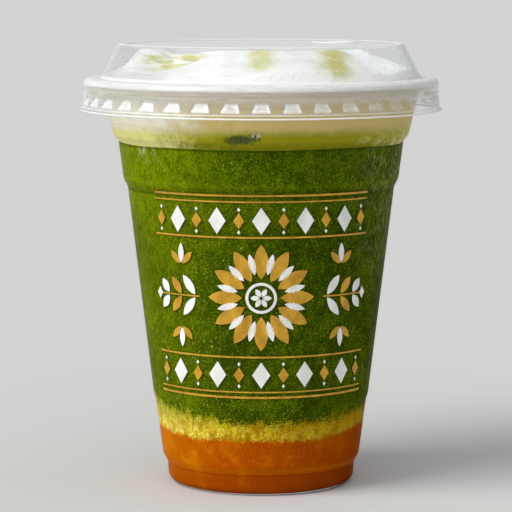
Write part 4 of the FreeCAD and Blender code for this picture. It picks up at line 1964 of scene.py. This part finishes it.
@dataclass
class Label:
    """A folk border and rosette in two inks, wrapped on the cup's front."""

    cup: Cup
    lift: float = 0.015 * MM
    thickness: float = 0.05 * MM
    half_width: float = 33.0 * MM
    middle: float = 56.4 * MM
    upper_border: float = 84.2 * MM
    lower_border: float = 28.2 * MM
    rules: tuple[Spot, ...] = ((0.0, 0.6), (1.6, 0.4), (11.4, 0.5))
    row: float = 6.6 * MM
    row_pitch: float = 6.1 * MM
    row_half_count: int = 5
    large_diamond: Diamond = Diamond(2.5, 3.7)
    small_diamond: Diamond = Diamond(1.5, 2.2)
    dot: Diamond = Diamond(0.45, 0.6)
    dot_offset: float = 3.1 * MM
    bud: Diamond = Diamond(1.2, 1.7)
    bud_place: float = 32.2 * MM
    outer_petal: Petal = Petal(5.2, 9.6, 3.9)
    inner_petal: Petal = Petal(6.6, 6.0, 1.9)
    flower_petal: Petal = Petal(0.4, 2.5, 1.4)
    petal_pairs: int = 12
    ring_radius: float = 3.5 * MM
    ring_width: float = 0.8 * MM
    ring_steps: int = 72
    stem: Spot = (17.6, 31.0)
    leaves: tuple[Petal, ...] = (Petal(0.5, 6.6, 2.5), Petal(0.5, 5.6, 2.5), Petal(0.5, 4.6, 2.5))
    leaf_start: float = 18.6
    leaf_pitch: float = 4.6
    leaf_turn: float = 0.92
    fan_place: Spot = (23.5, 8.4)
    fan_turn: float = 0.75
    fan_side: Petal = Petal(0.6, 4.6, 1.9)
    fan_middle: Petal = Petal(0.6, 5.6, 1.9)
    rule_length: float = 1.5 * MM
    petal_steps: int = 9
    crease: float = 30.0
    meshes: dict[Ink, Mesh] = field(default_factory=dict)

    def outline(self, ink: Ink, points: Sequence[Spot]) -> None:
        """Add a flat shape, by its points' distance round the cup and height."""
        mesh = self.meshes[ink]
        mesh.faces.new([mesh.verts.new((x, 0.0, z)) for x, z in points])

    def bar(self, left: float, right: float, height: float, width: float) -> None:
        """A level rule in gold, in short lengths so that it follows the wall.

        Args:
            left: Its left end.
            right: Its right end.
            height: Its lower edge.
            width: Its width.
        """
        count = max(1, round((right - left) / self.rule_length))
        for step in range(count):
            x0 = left + (right - left) * step / count
            x1 = left + (right - left) * (step + 1) / count
            self.outline(Ink.GOLD, [(x0, height), (x1, height), (x1, height + width),
                                    (x0, height + width)])

    def petal(self, ink: Ink, centre: Spot, angle: float, shape: Petal) -> None:
        """A petal that grows from near a centre in one direction.

        Args:
            ink: Its ink.
            centre: The centre.
            angle: The direction in radians.
            shape: Its sizes.
        """
        half_width = shape.width * MM / 2
        shares = [step / self.petal_steps for step in range(self.petal_steps + 1)]
        left = [((shape.start + shape.length * share) * MM,
                 half_width * math.sin(math.pi * share) ** shape.fullness) for share in shares]
        right = [(along, -across) for along, across in reversed(left[1:-1])]
        cos, sin = math.cos(angle), math.sin(angle)
        self.outline(ink, [(centre[0] + a * cos - b * sin, centre[1] + a * sin + b * cos)
                           for a, b in left + right])

    def ring(self, centre: Spot) -> None:
        """A thin white ring.

        Args:
            centre: Its middle.
        """
        outer = self.ring_radius + self.ring_width
        for step in range(self.ring_steps):
            a0, a1 = (math.tau * (step + end) / self.ring_steps for end in (0, 1))
            self.outline(Ink.WHITE, [
                (centre[0] + r * math.cos(a), centre[1] + r * math.sin(a))
                for r, a in ((self.ring_radius, a0), (outer, a0), (outer, a1),
                             (self.ring_radius, a1))])

    def diamond(self, ink: Ink, x: float, z: float, shape: Diamond) -> None:
        """An upright diamond with its middle at a spot."""
        half, tall = shape.half * MM, shape.tall * MM
        self.outline(ink, [(x - half, z), (x, z - tall), (x + half, z), (x, z + tall)])

    def border(self, height: float, flip: float) -> None:
        """A row of diamonds between rules.

        Args:
            height: Height of the outer rule.
            flip: 1 for a border above that rule, -1 for one below it.
        """
        for offset, width in self.rules:
            self.bar(-self.half_width, self.half_width, height + flip * offset * MM, width * MM)
        row = height + flip * self.row
        for step in range(-self.row_half_count, self.row_half_count + 1):
            x = step * self.row_pitch
            if step % 2 == 0:
                self.diamond(Ink.WHITE, x, row, self.large_diamond)
                continue
            self.diamond(Ink.GOLD, x, row, self.small_diamond)
            for turn in (-1.0, 1.0):
                self.diamond(Ink.WHITE, x, row + turn * self.dot_offset, self.dot)

    def fan(self, spot: Spot, heading: float) -> None:
        """Three petals that open in one direction.

        Args:
            spot: Where they meet.
            heading: The middle petal's direction in radians.
        """
        for turn, ink, shape in ((-self.fan_turn, Ink.GOLD, self.fan_side),
                                 (0.0, Ink.WHITE, self.fan_middle),
                                 (self.fan_turn, Ink.GOLD, self.fan_side)):
            self.petal(ink, spot, heading + turn, shape)

    def branch(self, side: float) -> None:
        """A stem with paired leaves on one side of the rosette.

        Args:
            side: 1 for the right, -1 for the left.
        """
        left, right = sorted(side * end * MM for end in self.stem)
        self.bar(left, right, self.middle - 0.2 * MM, 0.4 * MM)
        for step, leaf in enumerate(self.leaves):
            x = side * (self.leaf_start + self.leaf_pitch * step) * MM
            ink = Ink.WHITE if step % 2 == 0 else Ink.GOLD
            for turn in (-self.leaf_turn, self.leaf_turn):
                self.petal(ink, (x, self.middle), turn if side > 0.0 else math.pi - turn, leaf)
        self.diamond(Ink.WHITE, side * self.bud_place, self.middle, self.bud)
        for turn in (-1.0, 1.0):
            spot = (side * self.fan_place[0] * MM, self.middle + turn * self.fan_place[1] * MM)
            self.fan(spot, turn * math.pi / 2)

    def rosette(self) -> None:
        """A rosette of gold and white petals round a small flower."""
        centre = (0.0, self.middle)
        pitch = math.tau / self.petal_pairs
        for step in range(self.petal_pairs):
            self.petal(Ink.GOLD, centre, pitch * step, self.outer_petal)
            self.petal(Ink.WHITE, centre, pitch * (step + 0.5), self.inner_petal)
        self.ring(centre)
        for step in range(self.petal_pairs // 2):
            self.petal(Ink.WHITE, centre, 2.0 * pitch * step, self.flower_petal)

    def wrap(self, mesh: Mesh) -> None:
        """Lay flat shapes on the cup's tapering outside and give them thickness.

        Args:
            mesh: The shapes, flat in the XZ plane.
        """
        radius_at = self.cup.outside_radius()
        bmesh.ops.remove_doubles(mesh, verts=mesh.verts, dist=NEAR)
        bmesh.ops.triangulate(mesh, faces=[face for face in mesh.faces if len(face.verts) > 4])
        bmesh.ops.recalc_face_normals(mesh, faces=mesh.faces)
        for vert in mesh.verts:
            radius = radius_at(vert.co.z) + self.lift
            angle = vert.co.x / radius
            vert.co.x = radius * math.sin(angle)
            vert.co.y = -radius * math.cos(angle)
        grown = bmesh.ops.extrude_face_region(mesh, geom=mesh.faces[:], use_keep_orig=True)
        for vert in (item for item in grown["geom"] if isinstance(item, bmesh.types.BMVert)):
            way = Vector((vert.co.x, vert.co.y, 0.0)).normalized()
            vert.co += way * self.thickness

    def build(self) -> list[Piece]:
        """Draw, wrap and dress the print.

        Returns:
            A piece for each ink.
        """
        inks = {
            Ink.GOLD: PrintInk("gold_ink", (0.66, 0.37, 0.024), (0.42, 0.215, 0.007), 0.25),
            Ink.WHITE: PrintInk("white_ink", (0.86, 0.86, 0.83), (0.68, 0.68, 0.63), 0.0),
        }
        self.meshes = {ink: bmesh.new() for ink in Ink}
        self.border(self.upper_border, -1.0)
        self.border(self.lower_border, 1.0)
        self.rosette()
        for side in (-1.0, 1.0):
            self.branch(side)
        pieces = []
        for ink, mesh in self.meshes.items():
            self.wrap(mesh)
            piece = finish_mesh(mesh, ink.value, self.crease)
            pieces.append(dress(piece, inks[ink].material()))
        return pieces


# ------------------------------------------------------------------------------------ stage
@dataclass(frozen=True)
class Lamp:
    """A soft distant lamp: where it shines from, strength, width in degrees and colour."""

    name: str
    spot: tuple[float, float, float]
    strength: float
    spread: float
    colour: Colour = (1.0, 1.0, 1.0)

    def build(self) -> None:
        """Hang the lamp."""
        data = bpy.data.lights.new(self.name, "SUN")
        data.energy = self.strength
        data.angle = math.radians(self.spread)
        data.color = self.colour
        lamp = bpy.data.objects.new(self.name, data)
        lamp.rotation_euler = (-Vector(self.spot)).to_track_quat("-Z", "Y").to_euler()
        bpy.context.scene.collection.objects.link(lamp)


@dataclass
class Stage:
    """Floor, light and camera."""

    floor_size: float = 16.0
    focal: float = 182.8
    sensor: float = 36.0
    farthest: float = 60.0
    distance: float = 0.733
    eye_height: float = 0.1475
    pitch: float = math.radians(6.5)
    side_step: float = -0.00141
    sky: Colour = (0.95, 0.97, 1.0)
    sky_strength: float = 0.38
    backdrop: Colour = (0.60, 0.605, 0.61)
    lamps: tuple[Lamp, ...] = (
        Lamp("key", (-1.0, -0.55, 0.9), 2.85, 40.0, (1.0, 0.985, 0.96)),
        Lamp("front", (-0.05, -1.0, 0.7), 0.6, 60.0),
        Lamp("top", (0.45, 0.0, 1.0), 0.35, 60.0),
    )

    def floor(self) -> None:
        """A wide pale floor under the cup."""
        mesh = bmesh.new()
        bmesh.ops.create_grid(mesh, x_segments=8, y_segments=8, size=self.floor_size)
        piece = finish_mesh(mesh, "floor")
        piece.data.materials.append(PaleFloor("pale_floor").material())

    def world(self) -> None:
        """Even light from all round, with a pale background for the camera and through plastic."""
        shader = Shader("pale_room", world=True)
        path = shader.add("ShaderNodeLightPath")
        shown = Value(shader, path.outputs["Is Camera Ray"]).most(
            Value(shader, path.outputs["Is Transmission Ray"]))
        light, room = (
            shader.add("ShaderNodeBackground", None, {"Color": colour, "Strength": strength})
            for colour, strength in ((self.sky, self.sky_strength), (self.backdrop, 1.0)))
        surface = shader.blend(shown, light.outputs[0], room.outputs[0])
        bpy.context.scene.world = shader.finish(surface)

    def camera(self) -> None:
        """A long lens in front, a little above the lid."""
        data = bpy.data.cameras.new("camera")
        data.lens = self.focal
        data.sensor_width = self.sensor
        data.clip_end = self.farthest
        camera = bpy.data.objects.new("camera", data)
        camera.location = (self.side_step, -self.distance, self.eye_height)
        camera.rotation_euler = Euler((math.pi / 2 - self.pitch, 0.0, 0.0))
        bpy.context.scene.collection.objects.link(camera)
        bpy.context.scene.camera = camera

    def build(self) -> None:
        """Set the stage."""
        self.floor()
        self.world()
        for lamp in self.lamps:
            lamp.build()
        self.camera()
        bpy.context.scene.view_settings.view_transform = "Standard"


# ------------------------------------------------------------------------------------- main
CUP_PLASTIC = ClearPlastic(
    "clear_cup", front=0.0012, edge=0.27, fall=8.0, milk=(0.93, 0.84, 0.68),
    hazes=(Haze(109.4, 113.4, 0.27, 0.9),))
# On the lid, the bands on the bead's top, on the lip's bottom edge and on the top ring's edge are
# painted highlights: milky white for the bright lines these rounded edges reflect.
LID_PLASTIC = ClearPlastic(
    "clear_lid", front=0.01, edge=0.5, fall=4.0, roughness=0.1, milk=(0.90, 0.905, 0.91),
    edge_milk=0.7, lug_highlight=0.52,
    hazes=(Haze(113.4, 114.75, 0.44, 0.9), Haze(104.0, 105.94, 0.55, 0.08),
           Haze(106.6, 106.85, 0.22, 0.14), Haze(107.0, 112.8, 0.07, 1.0),
           Haze(124.12, 124.34, 0.4, 0.12)))


def main() -> None:
    """Build every piece, then the stage."""
    logging.basicConfig(level=logging.INFO, format="%(relativeCreated)d ms %(message)s")
    cup = Cup()
    lid = Lid(cup)
    pieces = Drink(cup, lid).build()
    pieces.append(dress(cup.build(), CUP_PLASTIC.material(), ["cup"]))
    pieces.append(dress(lid.build(), LID_PLASTIC.material(), ["lid"]))
    pieces += Details(cup, lid).build()
    pieces += Label(cup).build()
    for piece in pieces:
        LOG.info("%s: %d faces", piece.name, len(piece.data.polygons))
    Stage().build()


if __name__ == "__main__":
    main()
